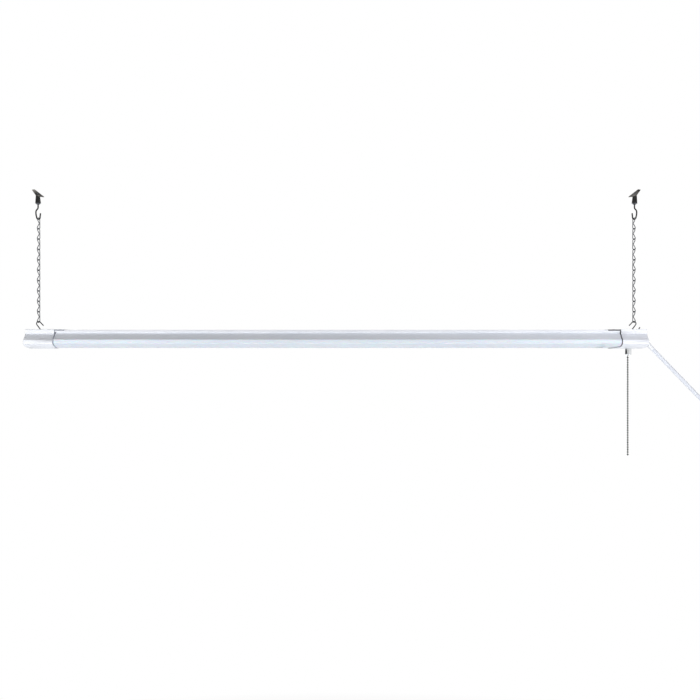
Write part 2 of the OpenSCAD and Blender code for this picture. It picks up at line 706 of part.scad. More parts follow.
// The dark steel bracket between a cap and the body, with its tab on the body's top
module end_bracket(side) {
    joint = side > 0 ? right_joint_x : -left_joint_x;
    tab_len = side > 0 ? right_tab_len : left_tab_len;
    half = lip_w / 2 + fit_gap;
    module placed() {
        difference() {
            body_solid(joint - bracket_t, joint, lip_h, BRACKET_EDGE);
            for (s = [-1, 1]) translate([joint - bracket_t - 1, s * 15, body_top_z - 13]) rotate([0, 90, 0])
                cylinder(d = 9, h = bracket_t + 2);
        }
        difference() {
            translate([joint - tab_len, -half - TAB_T, body_top_z - TAB_FOLD])
                cube([tab_len, 2 * (half + TAB_T), TAB_FOLD + TAB_T]);
            translate([joint - tab_len - 1, -half, body_top_z - TAB_FOLD - 1])
                cube([tab_len + 2, 2 * half, TAB_FOLD + 1]);
            for (y = [-SCREW_Y, SCREW_Y]) translate([joint - tab_len / 2, y, body_top_z - 1])
                cylinder(d = 2.6, h = TAB_T + 2);
        }
        if (side > 0) under_lens(joint - 0.5, lip_reach + 0.8, 0.05, BRACKET_EDGE);
    }
    if (side > 0) placed();
    else mirror([1, 0, 0]) placed();
}

// The four screws that hold the tabs on the housing
module bracket_screws() {
    head_h = 0.5;
    for (x = [left_joint_x + left_tab_len / 2, right_joint_x - right_tab_len / 2], y = [-SCREW_Y, SCREW_Y])
        translate([x, y, body_top_z]) {
            translate([0, 0, TAB_T]) cylinder(d = screw_head_d, h = head_h);
            translate([0, 0, -4]) cylinder(d = 2.5, h = TAB_T + 4);
        }
}

// ------------------------------------------------------------ pull switch

ferrule_low_z = spot_z - ferrule_h;
SWITCH_H = 14;
MOUTH_H = 4.2;                          // depth of the ferrule's mouth
COUPLER_H = 2.6;                        // height of the coupler under the stem
stem_d = 3.2;
stem_ball_z = ferrule_low_z + 1.2;      // bottom of the stem, inside the ferrule's mouth
coupler_z = stem_ball_z - 2.2;          // the point the chain swings from
chain_x = switch_x - 1.2;

// The switch: a square body on a threaded bushing
module switch_body() {
    difference() {
        union() {
            translate([switch_x - 10, -9, switch_pad_z]) cube([20, 18, SWITCH_H]);
            translate([switch_x, 0, ferrule_low_z + MOUTH_H])
                cylinder(d = bushing_d, h = switch_pad_z - ferrule_low_z - MOUTH_H + 1);
        }
        translate([switch_x, 0, ferrule_low_z - 1])
            cylinder(d = stem_d + 2 * slip, h = switch_pad_z - ferrule_low_z + 11);
    }
}

// The chromed ferrule that is screwed up the bushing
module switch_ferrule() {
    difference() {
        union() {
            translate([switch_x, 0, ferrule_low_z + 1]) cylinder(d = ferrule_d, h = ferrule_h - 1);
            translate([switch_x, 0, ferrule_low_z]) cylinder(d1 = ferrule_d - 1.6, d2 = ferrule_d, h = 1);
        }
        translate([switch_x, 0, ferrule_low_z + MOUTH_H]) cylinder(d = bushing_d, h = ferrule_h);
        translate([switch_x, 0, ferrule_low_z - 1]) cylinder(d = 7.4, h = MOUTH_H + 2);
    }
}

// The stem that is pulled down to switch, with a stop inside the switch
module pull_stem() {
    high = switch_pad_z + 1;
    translate([switch_x, 0, stem_ball_z]) cylinder(d = stem_d, h = high - stem_ball_z);
    translate([switch_x, 0, stem_ball_z]) sphere(d = 4.4);
}

// The small eye that joins the bead chain to the stem
module chain_coupler() {
    translate([chain_x, 0, coupler_z - COUPLER_H]) cylinder(d = 1.2, h = COUPLER_H - 1.2);
    translate([chain_x, 0, coupler_z - 1.3]) sphere(d = 1.8);
}

// The bead chain, one ball after another on its wire
module bead_chain() {
    first = coupler_z - 4.4;
    last = first - (bead_count - 1) * bead_pitch;
    translate([chain_x, 0, last]) cylinder(d = 0.9, h = coupler_z - COUPLER_H - last, $fn = 16);
    for (i = [0 : bead_count - 1])
        translate([chain_x, 0, first - i * bead_pitch]) sphere(d = bead_d, $fn = 16);
}

// ------------------------------------------------------------- cord, plug

relief_in = relief_at - RELIEF_SEAT * relief_dir;
relief_out = relief_at + relief_len * relief_dir;

// The strain relief: a plain seat in the cap, then a slender taper along the cord
module strain_relief() {
    straight = 5;
    rotate_to_cord() {
        cylinder(d = relief_d, h = RELIEF_SEAT + straight);
        translate([0, 0, RELIEF_SEAT + straight])
            cylinder(d1 = relief_d, d2 = cord_d + 0.6, h = relief_len - straight);
    }
}

module rotate_to_cord() {
    translate(relief_in) rotate([0, 90 + cord_slope, 0]) children();
}

// Where the hank begins, measured from the strain relief in the cap
hank_x = relief_at.x + 138;
hank_y = -13.2;
hank_z = relief_at.z - 163.6;

// The free cord, from the strain relief down to the hank: straight, then bending down
cord_route = concat(
    [for (k = [0 : 6]) relief_out + k * 22 * relief_dir],
    [for (p = [[119, -1.4, -123.1], [127.2, -4, -132.2], [133.1, -7.6, -142], [136.8, -11.2, -152.7]])
        relief_at + p],
    [[hank_x, hank_y, hank_z]]);

module supply_cord() {
    tube(cord_route, cord_d, 10, first = relief_dir, last = [0, 0, -1]);
}

HANK_TURNS = 3;
HANK_RINGS = 24;
HANK_TAIL = 34;       // straight cord from the last run down past the folds
fold_len = PI * hank_fold_r;
turn_len = 2 * (hank_run + fold_len);

// How far the waist is drawn in at share v of a run, and the sideways climb there
function draw_in(v) = hank_draw * (1 - cos(360 * v)) / 2;
function climb(v) = hank_step * (1 - cos(180 * v)) / 2;

// The hank's centreline at distance s: down the near run, round, up the far run, round
function hank_at(s) =
    let (n = min(HANK_TURNS, floor(s / turn_len)), q = s - turn_len * n, y = hank_y + hank_step * n)
    q < hank_run ? [hank_x + draw_in(q / hank_run), y, hank_z - q] :
    n == HANK_TURNS ? [hank_x, y, hank_z - q] :
    q < hank_run + fold_len ? let (a = 180 * (q - hank_run) / fold_len)
        [hank_x + hank_fold_r * (1 - cos(a)), y, hank_z - hank_run - hank_fold_r * sin(a)] :
    q < 2 * hank_run + fold_len ? let (w = (q - hank_run - fold_len) / hank_run)
        [hank_x + 2 * hank_fold_r - draw_in(w), y + climb(w), hank_z - hank_run * (1 - w)] :
    let (a = 180 * (q - 2 * hank_run - fold_len) / fold_len)
        [hank_x + hank_fold_r * (1 + cos(a)), y + hank_step, hank_z + hank_fold_r * sin(a)];

hank_total = HANK_TURNS * turn_len + hank_run + HANK_TAIL;
hank_rings = HANK_RINGS * HANK_TURNS + 10;
hank_line = concat(
    [[hank_x, hank_y, hank_z]],
    [for (i = [0 : hank_rings]) hank_at(hank_total * i / hank_rings) - [0, 0, cord_d]]);
hank_end = hank_line[len(hank_line) - 1];

function reach(p) = [for (i = [1 : len(p) - 1]) norm(p[i] - p[i - 1])];
function total(v) = v * [for (x = v) 1];
// Least distance from point c to the stretch between a and b
function off(c, a, b) =
    let (t = max(0, min(1, (c - a) * (b - a) / ((b - a) * (b - a))))) norm(a + t * (b - a) - c);
// Least distance between stretches of the hank that lie far apart along it
hank_gap = min([for (i = [0 : hank_rings], j = [i + 9 : 1 : hank_rings])
    off(hank_line[i], hank_line[j], hank_line[j + 1])]) - cord_d;
echo(cord_length = total(reach(cord_route)) + total(reach(hank_line)), hank_gap = hank_gap);

module cord_hank() {
    tube(hank_line, cord_d, 6, first = [0, 0, -1], last = [0, 0, -1]);
}

// The tie round the drawn-in waist of the hank
module cord_tie() {
    tie_t = 1.6;
    slack = 0.6;
    run_gap = 2 * (hank_fold_r - hank_draw);
    deep = hank_step * HANK_TURNS + cord_d;
    translate([hank_x + hank_fold_r, hank_y + hank_step * HANK_TURNS / 2,
               hank_z - cord_d - hank_run / 2 - tie_h / 2]) difference() {
        round_slab(run_gap + cord_d + 2 * (tie_t + slack), deep + 2 * (tie_t + slack),
                   cord_d / 2 + tie_t, tie_h);
        translate([0, 0, -1])
            round_slab(run_gap + cord_d + 2 * slack, deep + 2 * slack, cord_d / 2, tie_h + 2);
    }
}

plug_top = hank_end.z;
PLUG_NECK = 22;       // tapered neck above the grip
blade_gap = 12.7;
earth_off = 11.9;

// The moulded plug: a tapered neck and a waisted grip with a flat face
module plug_body() {
    translate([hank_end.x, hank_end.y, plug_top]) mirror([0, 0, 1]) {
        cylinder(d1 = cord_d + 1, d2 = 13, h = PLUG_NECK);
        translate([0, 0, PLUG_NECK]) intersection() {
            translate([0, -earth_off / 4, 0]) round_slab(plug_w, plug_t, 7, plug_len);
            translate([0, -earth_off / 4, plug_len - 50]) cylinder(d1 = 14, d2 = 46, h = 50, $fn = 48);
        }
    }
}

// Two flat blades and the round earth pin
module plug_pins() {
    face_z = plug_top - PLUG_NECK - plug_len;
    blade = [1.5, 6.3, 17];
    for (s = [-1, 1]) translate([hank_end.x + s * blade_gap / 2 - blade.x / 2,
                                 hank_end.y + earth_off / 4 - blade.y / 2, face_z - blade.z])
        cube(blade);
    translate([hank_end.x, hank_end.y + earth_off / 4 - earth_off, face_z - earth_pin_len])
        cylinder(r = earth_pin_r, h = earth_pin_len);
}

// ------------------------------------------------------------------ leads

LIVE_Y = 15;          // how far the leads keep from the middle line
NEUTRAL_Y = -12.5;
EARTH_Y = -18.5;

// A lead from the cord's inner end, at start about its axis, past the pocket to the driver
function lead_route(y, start, drop) = [
    relief_in - 0.3 * relief_dir + [start.y * sin(cord_slope), start.x, start.y * cos(cord_slope)],
    relief_in + [-5, 0.45 * y, start.y / 2 - 1.5],
    [end_x - 22, y, relief_in.z - drop], [end_x - 36, y, relief_in.z - drop + 1],
    [right_joint_x + 4, y, body_top_z - 13], [right_joint_x - 14, y, body_top_z - 13],
    [driver_x + driver_len - TERMINAL_IN - 1, y * 0.5, driver_z + STANDOFF + BOARD_T + TERMINAL_H + 2]];

module lead(y, start, drop) {
    tube(lead_route(y, start, drop), 2, 8, first = -relief_dir, last = [-1, 0, 0]);
}

// ----------------------------------------------------------------- colours

DARK = "#3a3a38";
ZINC = "#9a9ca0";
WHITE = "#eef2f6";

module left_ceiling_hook() { color(DARK) at_ceiling(-1) ceiling_hook(); }
module right_ceiling_hook() { color(DARK) at_ceiling(1) ceiling_hook(); }
module left_hook_collar() { color(ZINC) at_ceiling(-1) hook_collar(); }
module right_hook_collar() { color(ZINC) at_ceiling(1) hook_collar(); }
module left_toggle_yoke() { color(DARK) at_ceiling(-1) toggle_yoke(); }
module right_toggle_yoke() { color(DARK) at_ceiling(1) toggle_yoke(); }
module left_toggle_pin() { color(ZINC) at_ceiling(-1) toggle_pin(); }
module right_toggle_pin() { color(ZINC) at_ceiling(1) toggle_pin(); }
module left_toggle_bar() { color("#7d7b7a") at_ceiling(-1) toggle_bar(); }
module right_toggle_bar() { color("#7d7b7a") at_ceiling(1) toggle_bar(); }
module left_link(i) { color(ZINC) at_hanger(-1) chain_link(i); }
module right_link(i) { color(ZINC) at_hanger(1) chain_link(i); }
module left_s_hook() { color("#5c6062") at_hanger(-1) s_hook(left_s_tip); }
module right_s_hook() { color("#5c6062") at_hanger(1) s_hook(s_tip); }

left_ceiling_hook();
left_hook_collar();
left_toggle_yoke();
left_toggle_pin();
left_toggle_bar();
right_ceiling_hook();
right_hook_collar();
right_toggle_yoke();
right_toggle_pin();
right_toggle_bar();
left_link(1);  // left_link_1
left_link(2);  // left_link_2
left_link(3);  // left_link_3
left_link(4);  // left_link_4
left_link(5);  // left_link_5
left_link(6);  // left_link_6
left_link(7);  // left_link_7
left_link(8);  // left_link_8
left_link(9);  // left_link_9
left_link(10);  // left_link_10
right_link(1);  // right_link_1
right_link(2);  // right_link_2
right_link(3);  // right_link_3
right_link(4);  // right_link_4
right_link(5);  // right_link_5
right_link(6);  // right_link_6
right_link(7);  // right_link_7
right_link(8);  // right_link_8
right_link(9);  // right_link_9
right_link(10);  // right_link_10
left_s_hook();
right_s_hook();
color("#dfe3ea") housing();
color("#e6edf4") lens();
color(WHITE) reflector_tray();
color("#f4f4f0") led_board(-1);  // led_board_front
color("#f4f4f0") led_board(1);  // led_board_rear
color("#f0d860") leds();
color("#e8e4d8") driver_insulator();
color("#2f6b3f") driver_board();
color("#2a2a2c") driver_parts();
color(WHITE) left_end_cap();
color(WHITE) right_end_cap();
color("#55595e") end_bracket(-1);  // left_end_bracket
color("#55595e") end_bracket(1);  // right_end_bracket
color(ZINC) bracket_screws();
color("#2b2b2d") switch_body();
color("#c9ccce") switch_ferrule();
color(DARK) pull_stem();
color(DARK) chain_coupler();
color("#4c4e50") bead_chain();
color("#1c1c1e") lead(LIVE_Y, [2.3, -0.6], 2);  // live_lead
color(WHITE) lead(NEUTRAL_Y, [0, -2.9], 3);  // neutral_lead
color("#3f9b4f") lead(EARTH_Y, [-2.3, -0.6], 2);  // earth_lead
color(WHITE) strain_relief();
color(WHITE) supply_cord();
color(WHITE) cord_hank();
color("#2b2b2d") cord_tie();
color(WHITE) plug_body();
color("#c8a24a") plug_pins();
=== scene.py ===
import math
import bmesh
import bpy
import numpy as np
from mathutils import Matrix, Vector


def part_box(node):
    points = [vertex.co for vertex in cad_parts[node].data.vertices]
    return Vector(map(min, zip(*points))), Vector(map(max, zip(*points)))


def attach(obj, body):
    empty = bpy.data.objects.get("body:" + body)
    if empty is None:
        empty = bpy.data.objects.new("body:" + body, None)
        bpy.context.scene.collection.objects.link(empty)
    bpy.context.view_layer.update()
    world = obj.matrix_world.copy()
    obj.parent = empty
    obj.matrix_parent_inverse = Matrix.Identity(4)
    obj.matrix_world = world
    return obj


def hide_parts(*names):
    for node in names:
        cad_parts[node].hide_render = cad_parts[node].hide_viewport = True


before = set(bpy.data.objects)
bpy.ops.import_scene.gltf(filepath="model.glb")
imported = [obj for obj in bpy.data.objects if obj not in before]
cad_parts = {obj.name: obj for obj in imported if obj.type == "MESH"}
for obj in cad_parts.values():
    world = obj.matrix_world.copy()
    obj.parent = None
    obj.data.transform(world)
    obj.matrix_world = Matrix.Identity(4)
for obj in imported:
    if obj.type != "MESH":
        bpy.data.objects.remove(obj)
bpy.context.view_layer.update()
print("frame loaded:", len(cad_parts), "nodes")

mm = 0.001
weldDist = 2e-6  # metres: vertices nearer than this become one
sliverDist = 1e-7


# small helpers: colours, nodes, meshes

def toLinear(code, alpha=1.0):  # sRGB hex to linear
    values = [int(code[i:i + 2], 16) / 255 for i in (1, 3, 5)]
    return tuple(v / 12.92 if v <= 0.04045 else ((v + 0.055) / 1.055) ** 2.4 for v in values) + (alpha,)


def addNode(tree, kind, links=None, **settings):  # one node, its sockets filled or linked
    node = tree.nodes.new(kind)
    for name, value in settings.items():
        setattr(node, name, value)
    for key, value in (links or {}).items():
        if isinstance(value, bpy.types.NodeSocket):
            tree.links.new(value, node.inputs[key])
        else:
            node.inputs[key].default_value = value
    return node


def gridFaces(rows, cols, closeRows=False, closeCols=False):
    # quads between neighbouring points of a rows x cols grid, wrapped round where it closes
    r = np.arange(rows if closeRows else rows - 1)
    c = np.arange(cols if closeCols else cols - 1)
    r0, c0 = [a.ravel() for a in np.meshgrid(r, c, indexing="ij")]
    r1, c1 = (r0 + 1) % rows, (c0 + 1) % cols
    return np.stack([r0 * cols + c0, r0 * cols + c1, r1 * cols + c1, r1 * cols + c0], 1)


def cleanMesh(mesh):  # doubles merged, slivers dropped, faces turned outward
    work = bmesh.new()
    work.from_mesh(mesh)
    bmesh.ops.remove_doubles(work, verts=work.verts, dist=weldDist)
    bmesh.ops.dissolve_degenerate(work, edges=work.edges, dist=sliverDist)
    bmesh.ops.recalc_face_normals(work, faces=work.faces)
    work.to_mesh(mesh)
    work.free()


def addPiece(name, body, finish, points, faces, stands=(), sharp=34, uv=None, hug=True):
    # points (n, 3) in metres and index faces become one object that rides on a body; stands are the CAD
    # nodes it replaces, uv a pair for each point, hug merges doubles and turns the faces outward
    mesh = bpy.data.meshes.new(name)
    mesh.from_pydata(np.asarray(points, float).tolist(), [], [list(map(int, f)) for f in faces])
    if uv is not None:
        layer = mesh.uv_layers.new(name="along")
        corner = np.empty(len(mesh.loops), np.int32)
        mesh.loops.foreach_get("vertex_index", corner)
        layer.data.foreach_set("uv", np.asarray(uv, np.float32)[corner].ravel())
    if hug:
        cleanMesh(mesh)
    mesh.materials.append(finish)
    mesh.shade_smooth()
    mesh.set_sharp_from_angle(angle=math.radians(sharp))
    obj = bpy.data.objects.new(name, mesh)
    bpy.context.scene.collection.objects.link(obj)
    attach(obj, body)
    if stands:
        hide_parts(*stands)
    return obj


def sweepTube(path, radius, side, sides=14, roundEnd=0.0):
    # rings of the given radius square to the path; side is a direction that the path never takes
    path = np.asarray(path, float)
    steps = np.linalg.norm(np.diff(path, axis=0), axis=1)
    along = np.concatenate([[0], np.cumsum(steps)])
    heading = np.gradient(path, axis=0)
    heading[0], heading[-1] = path[1] - path[0], path[-1] - path[-2]
    heading /= np.linalg.norm(heading, axis=1)[:, None]
    side = np.broadcast_to(np.asarray(side, float), path.shape)
    u = np.cross(side, heading)
    u /= np.linalg.norm(u, axis=1)[:, None]
    v = np.cross(heading, u)
    radius = np.broadcast_to(np.asarray(radius, float), (len(path),)).copy()
    if roundEnd:  # the last rings shrink on a quarter circle of that radius
        for d in (along, along[-1] - along):
            edge = np.clip((roundEnd - d) / roundEnd, 0, 1)
            radius -= roundEnd * (1 - np.sqrt(1 - edge ** 2))
    turn = 2 * np.pi * np.arange(sides) / sides
    rings = path[:, None] + radius[:, None, None] * (
        u[:, None] * np.cos(turn)[None, :, None] + v[:, None] * np.sin(turn)[None, :, None])
    faces = gridFaces(len(path), sides, closeCols=True).tolist()
    last = (len(path) - 1) * sides
    faces += [list(range(sides))[::-1], list(range(last, last + sides))]
    uv = np.stack([np.broadcast_to(turn / (2 * np.pi), (len(path), sides)),
                   np.broadcast_to(along[:, None], (len(path), sides))], 2)
    return rings.reshape(-1, 3), faces, uv.reshape(-1, 2)


def endSteps(length, roundEnd, steps=4):  # distances from both ends that shape a rounded tip
    lead = roundEnd * (1 - np.cos(np.linspace(0, np.pi / 2, steps)))
    return np.concatenate([lead, length - lead[::-1]])


def resample(path, at):  # points of a polyline at the given distances along it
    path = np.asarray(path, float)
    d = np.concatenate([[0], np.cumsum(np.linalg.norm(np.diff(path, axis=0), axis=1))])
    return np.stack([np.interp(at, d, path[:, k]) for k in range(path.shape[1])], 1)


def arc(centre, radius, start, stop, steps):  # arc in a plane: centre + radius (cos, sin), degrees
    a = np.radians(np.linspace(start, stop, steps))
    return np.stack([centre[0] + radius * np.cos(a), centre[1] + radius * np.sin(a)], 1)


def turned(points, axis, degrees):  # rotation about a coordinate axis through the origin
    c, s = math.cos(math.radians(degrees)), math.sin(math.radians(degrees))
    matrix = {"x": [[1, 0, 0], [0, c, -s], [0, s, c]],
              "y": [[c, 0, s], [0, 1, 0], [-s, 0, c]],
              "z": [[c, -s, 0], [s, c, 0], [0, 0, 1]]}[axis]
    return np.asarray(points) @ np.array(matrix).T


def lathe(profile, centre, sides=48, axis=(0, 0, 1)):
    # (radius, height) pairs turned about an axis through centre; heights run along the axis
    profile = np.asarray(profile, float)
    w = np.asarray(axis, float) / np.linalg.norm(axis)
    u = np.cross(w, (0, 1, 0) if abs(w[1]) < 0.9 else (1, 0, 0))
    u /= np.linalg.norm(u)
    v = np.cross(w, u)
    turn = 2 * np.pi * np.arange(sides) / sides
    ring = u[None] * np.cos(turn)[:, None] + v[None] * np.sin(turn)[:, None]
    points = (np.asarray(centre)[None, None] + profile[:, 0, None, None] * ring[None]
              + profile[:, 1, None, None] * w[None, None])
    uv = np.stack([np.broadcast_to(turn / (2 * np.pi), points.shape[:2]),
                   np.broadcast_to(profile[:, 1:2], points.shape[:2])], 2)
    return points.reshape(-1, 3), gridFaces(len(profile), sides, closeCols=True), uv.reshape(-1, 2)


def roundCorners(points, radii, steps):
    # each corner of an open polyline becomes a short curve, quadratic between its two tangent points
    points = np.asarray(points, float)
    out = [points[0][None]]
    t = np.linspace(0, 1, steps)[:, None]
    for i in range(1, len(points) - 1):
        a, b, c = points[i - 1], points[i], points[i + 1]
        u, v = a - b, c - b
        lu, lv = np.linalg.norm(u), np.linalg.norm(v)
        half = math.acos(np.clip(np.dot(u, v) / lu / lv, -1, 1)) / 2
        cut = min(radii[i] / math.tan(half), 0.48 * lu, 0.48 * lv)  # under half of either side
        p, q = b + u / lu * cut, b + v / lv * cut
        out.append((1 - t) ** 2 * p + 2 * t * (1 - t) * b + t ** 2 * q)
    out.append(points[-1][None])
    return np.concatenate(out)


def offsetLine(line, distance):  # the line moved square to itself, to its left for a positive distance
    line = np.asarray(line, float)
    d = np.gradient(line, axis=0)
    d[0], d[-1] = line[1] - line[0], line[-1] - line[-2]
    d /= np.linalg.norm(d, axis=1)[:, None]
    return line + distance * np.stack([-d[:, 1], d[:, 0]], 1)


def sheetAlongX(line, inner, stations):
    # a bent sheet: the closed outline (line out, inner back) in y, z carried along x, ends closed
    loop = np.concatenate([line, inner[::-1]])
    n, m = len(loop), len(line)
    points = np.zeros((len(stations), n, 3))
    points[:, :, 0] = np.asarray(stations)[:, None]
    points[:, :, 1:] = loop[None]
    faces = gridFaces(len(stations), n, closeCols=True).tolist()
    k = np.arange(m - 1)
    cap = np.stack([k, k + 1, n - 2 - k, n - 1 - k], 1)
    faces += cap.tolist() + (cap[:, ::-1] + (len(stations) - 1) * n).tolist()
    return points.reshape(-1, 3), faces


def finishedCopy(name, body, finish, nodes, bevel=0.3, segments=2, sharp=34, flat=0.6, least=0.0):
    # a merged copy of CAD nodes, flat faces joined; sharp edges longer than least get a bevel, both in mm
    work = bmesh.new()
    for node in nodes:
        work.from_mesh(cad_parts[node].data)
    bmesh.ops.remove_doubles(work, verts=work.verts, dist=weldDist)
    bmesh.ops.dissolve_limit(work, angle_limit=math.radians(flat), verts=work.verts, edges=work.edges)
    bmesh.ops.recalc_face_normals(work, faces=work.faces)
    weight = work.edges.layers.float.new("bevel_weight_edge")
    for edge in work.edges:
        turn = edge.calc_face_angle(0)
        edge[weight] = float(turn > math.radians(sharp) and edge.calc_length() > least * mm)
    mesh = bpy.data.meshes.new(name)
    work.to_mesh(mesh)
    work.free()
    mesh.materials.clear()
    mesh.materials.append(finish)
    mesh.shade_smooth()
    mesh.set_sharp_from_angle(angle=math.radians(sharp))
    obj = bpy.data.objects.new(name, mesh)
    bpy.context.scene.collection.objects.link(obj)
    if bevel:
        edge = obj.modifiers.new("brokenEdges", "BEVEL")
        edge.width, edge.segments, edge.limit_method = bevel * mm, segments, "WEIGHT"
        edge.harden_normals = True
        edge.use_clamp_overlap, edge.miter_outer = True, "MITER_ARC"
    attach(obj, body)
    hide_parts(*nodes)
    return obj


# finishes

def makeFinish(name, look):
    # colour drifts between two tones, roughness and relief follow a grain of the real size
    mat = bpy.data.materials.new(name)
    mat.use_nodes = True
    tree = mat.node_tree
    tree.nodes.clear()
    place = addNode(tree, "ShaderNodeTexCoord").outputs[look.get("coords", "Object")]
    stretch = look.get("stretch", (1, 1, 1))
    grid = addNode(tree, "ShaderNodeMapping", {"Vector": place, "Scale": stretch}).outputs[0]
    drift = addNode(tree, "ShaderNodeTexNoise",
                    {"Vector": place, "Scale": 1000 / look["driftMm"], "Detail": 3.0}).outputs[0]
    grain = addNode(tree, "ShaderNodeTexNoise",
                    {"Vector": grid, "Scale": 1000 / look["grainMm"], "Detail": 2.5}).outputs[0]
    drift = addNode(tree, "ShaderNodeMapRange", {0: drift, 1: 0.35, 2: 0.68}).outputs[0]  # its own spread
    tones = {0: drift, 6: toLinear(look["colour"]), 7: toLinear(look["second"])}
    colour = addNode(tree, "ShaderNodeMix", tones, data_type="RGBA").outputs[2]
    if "fleck" in look:  # sparse specks: dust, scuffs or bare spots, where the noise passes fleckFrom
        specks = addNode(tree, "ShaderNodeTexNoise",
                         {"Vector": grid, "Scale": 1000 / look["fleckMm"], "Detail": 1.0}).outputs[0]
        reach = {0: specks, 1: look["fleckFrom"], 2: look["fleckFrom"] + 0.05, 4: look["fleckShare"]}
        specks = addNode(tree, "ShaderNodeMapRange", reach).outputs[0]
        tones = {0: specks, 6: colour, 7: toLinear(look["fleck"])}
        colour = addNode(tree, "ShaderNodeMix", tones, data_type="RGBA").outputs[2]
    if "wornEdge" in look:  # the coat is rubbed through where the rounded normal leaves the true one
        soft = addNode(tree, "ShaderNodeBevel", {"Radius": look["wearMm"] * mm}, samples=6).outputs[0]
        true = addNode(tree, "ShaderNodeNewGeometry").outputs["Normal"]
        bend = addNode(tree, "ShaderNodeVectorMath", {0: soft, 1: true},
                       operation="DOT_PRODUCT").outputs["Value"]
        worn = addNode(tree, "ShaderNodeMapRange", {0: bend, 1: 0.985, 2: 0.86}).outputs[0]
        worn = addNode(tree, "ShaderNodeMath", {0: worn, 1: drift}, operation="MULTIPLY").outputs[0]
        tones = {0: worn, 6: colour, 7: toLinear(look["wornEdge"])}
        colour = addNode(tree, "ShaderNodeMix", tones, data_type="RGBA").outputs[2]
    low, high = look["rough"]
    rough = addNode(tree, "ShaderNodeMapRange", {0: grain, 1: 0.3, 2: 0.7, 3: low, 4: high}).outputs[0]
    bump = {"Height": grain, "Strength": look["bump"], "Distance": look["grainMm"] * mm * 0.2}
    if "softMm" in look:  # moulded edges: the shading turns the corner over this radius
        bump["Normal"] = addNode(tree, "ShaderNodeBevel", {"Radius": look["softMm"] * mm},
                                 samples=8).outputs[0]
    relief = addNode(tree, "ShaderNodeBump", bump).outputs[0]
    shader = addNode(tree, "ShaderNodeBsdfPrincipled", {
        "Base Color": colour, "Roughness": rough, "Normal": relief, "Metallic": look.get("metallic", 0.0)})
    for socket, value in look.get("sockets", {}).items():
        shader.inputs[socket].default_value = value
    addNode(tree, "ShaderNodeOutputMaterial", {0: shader.outputs[0]})
    return mat


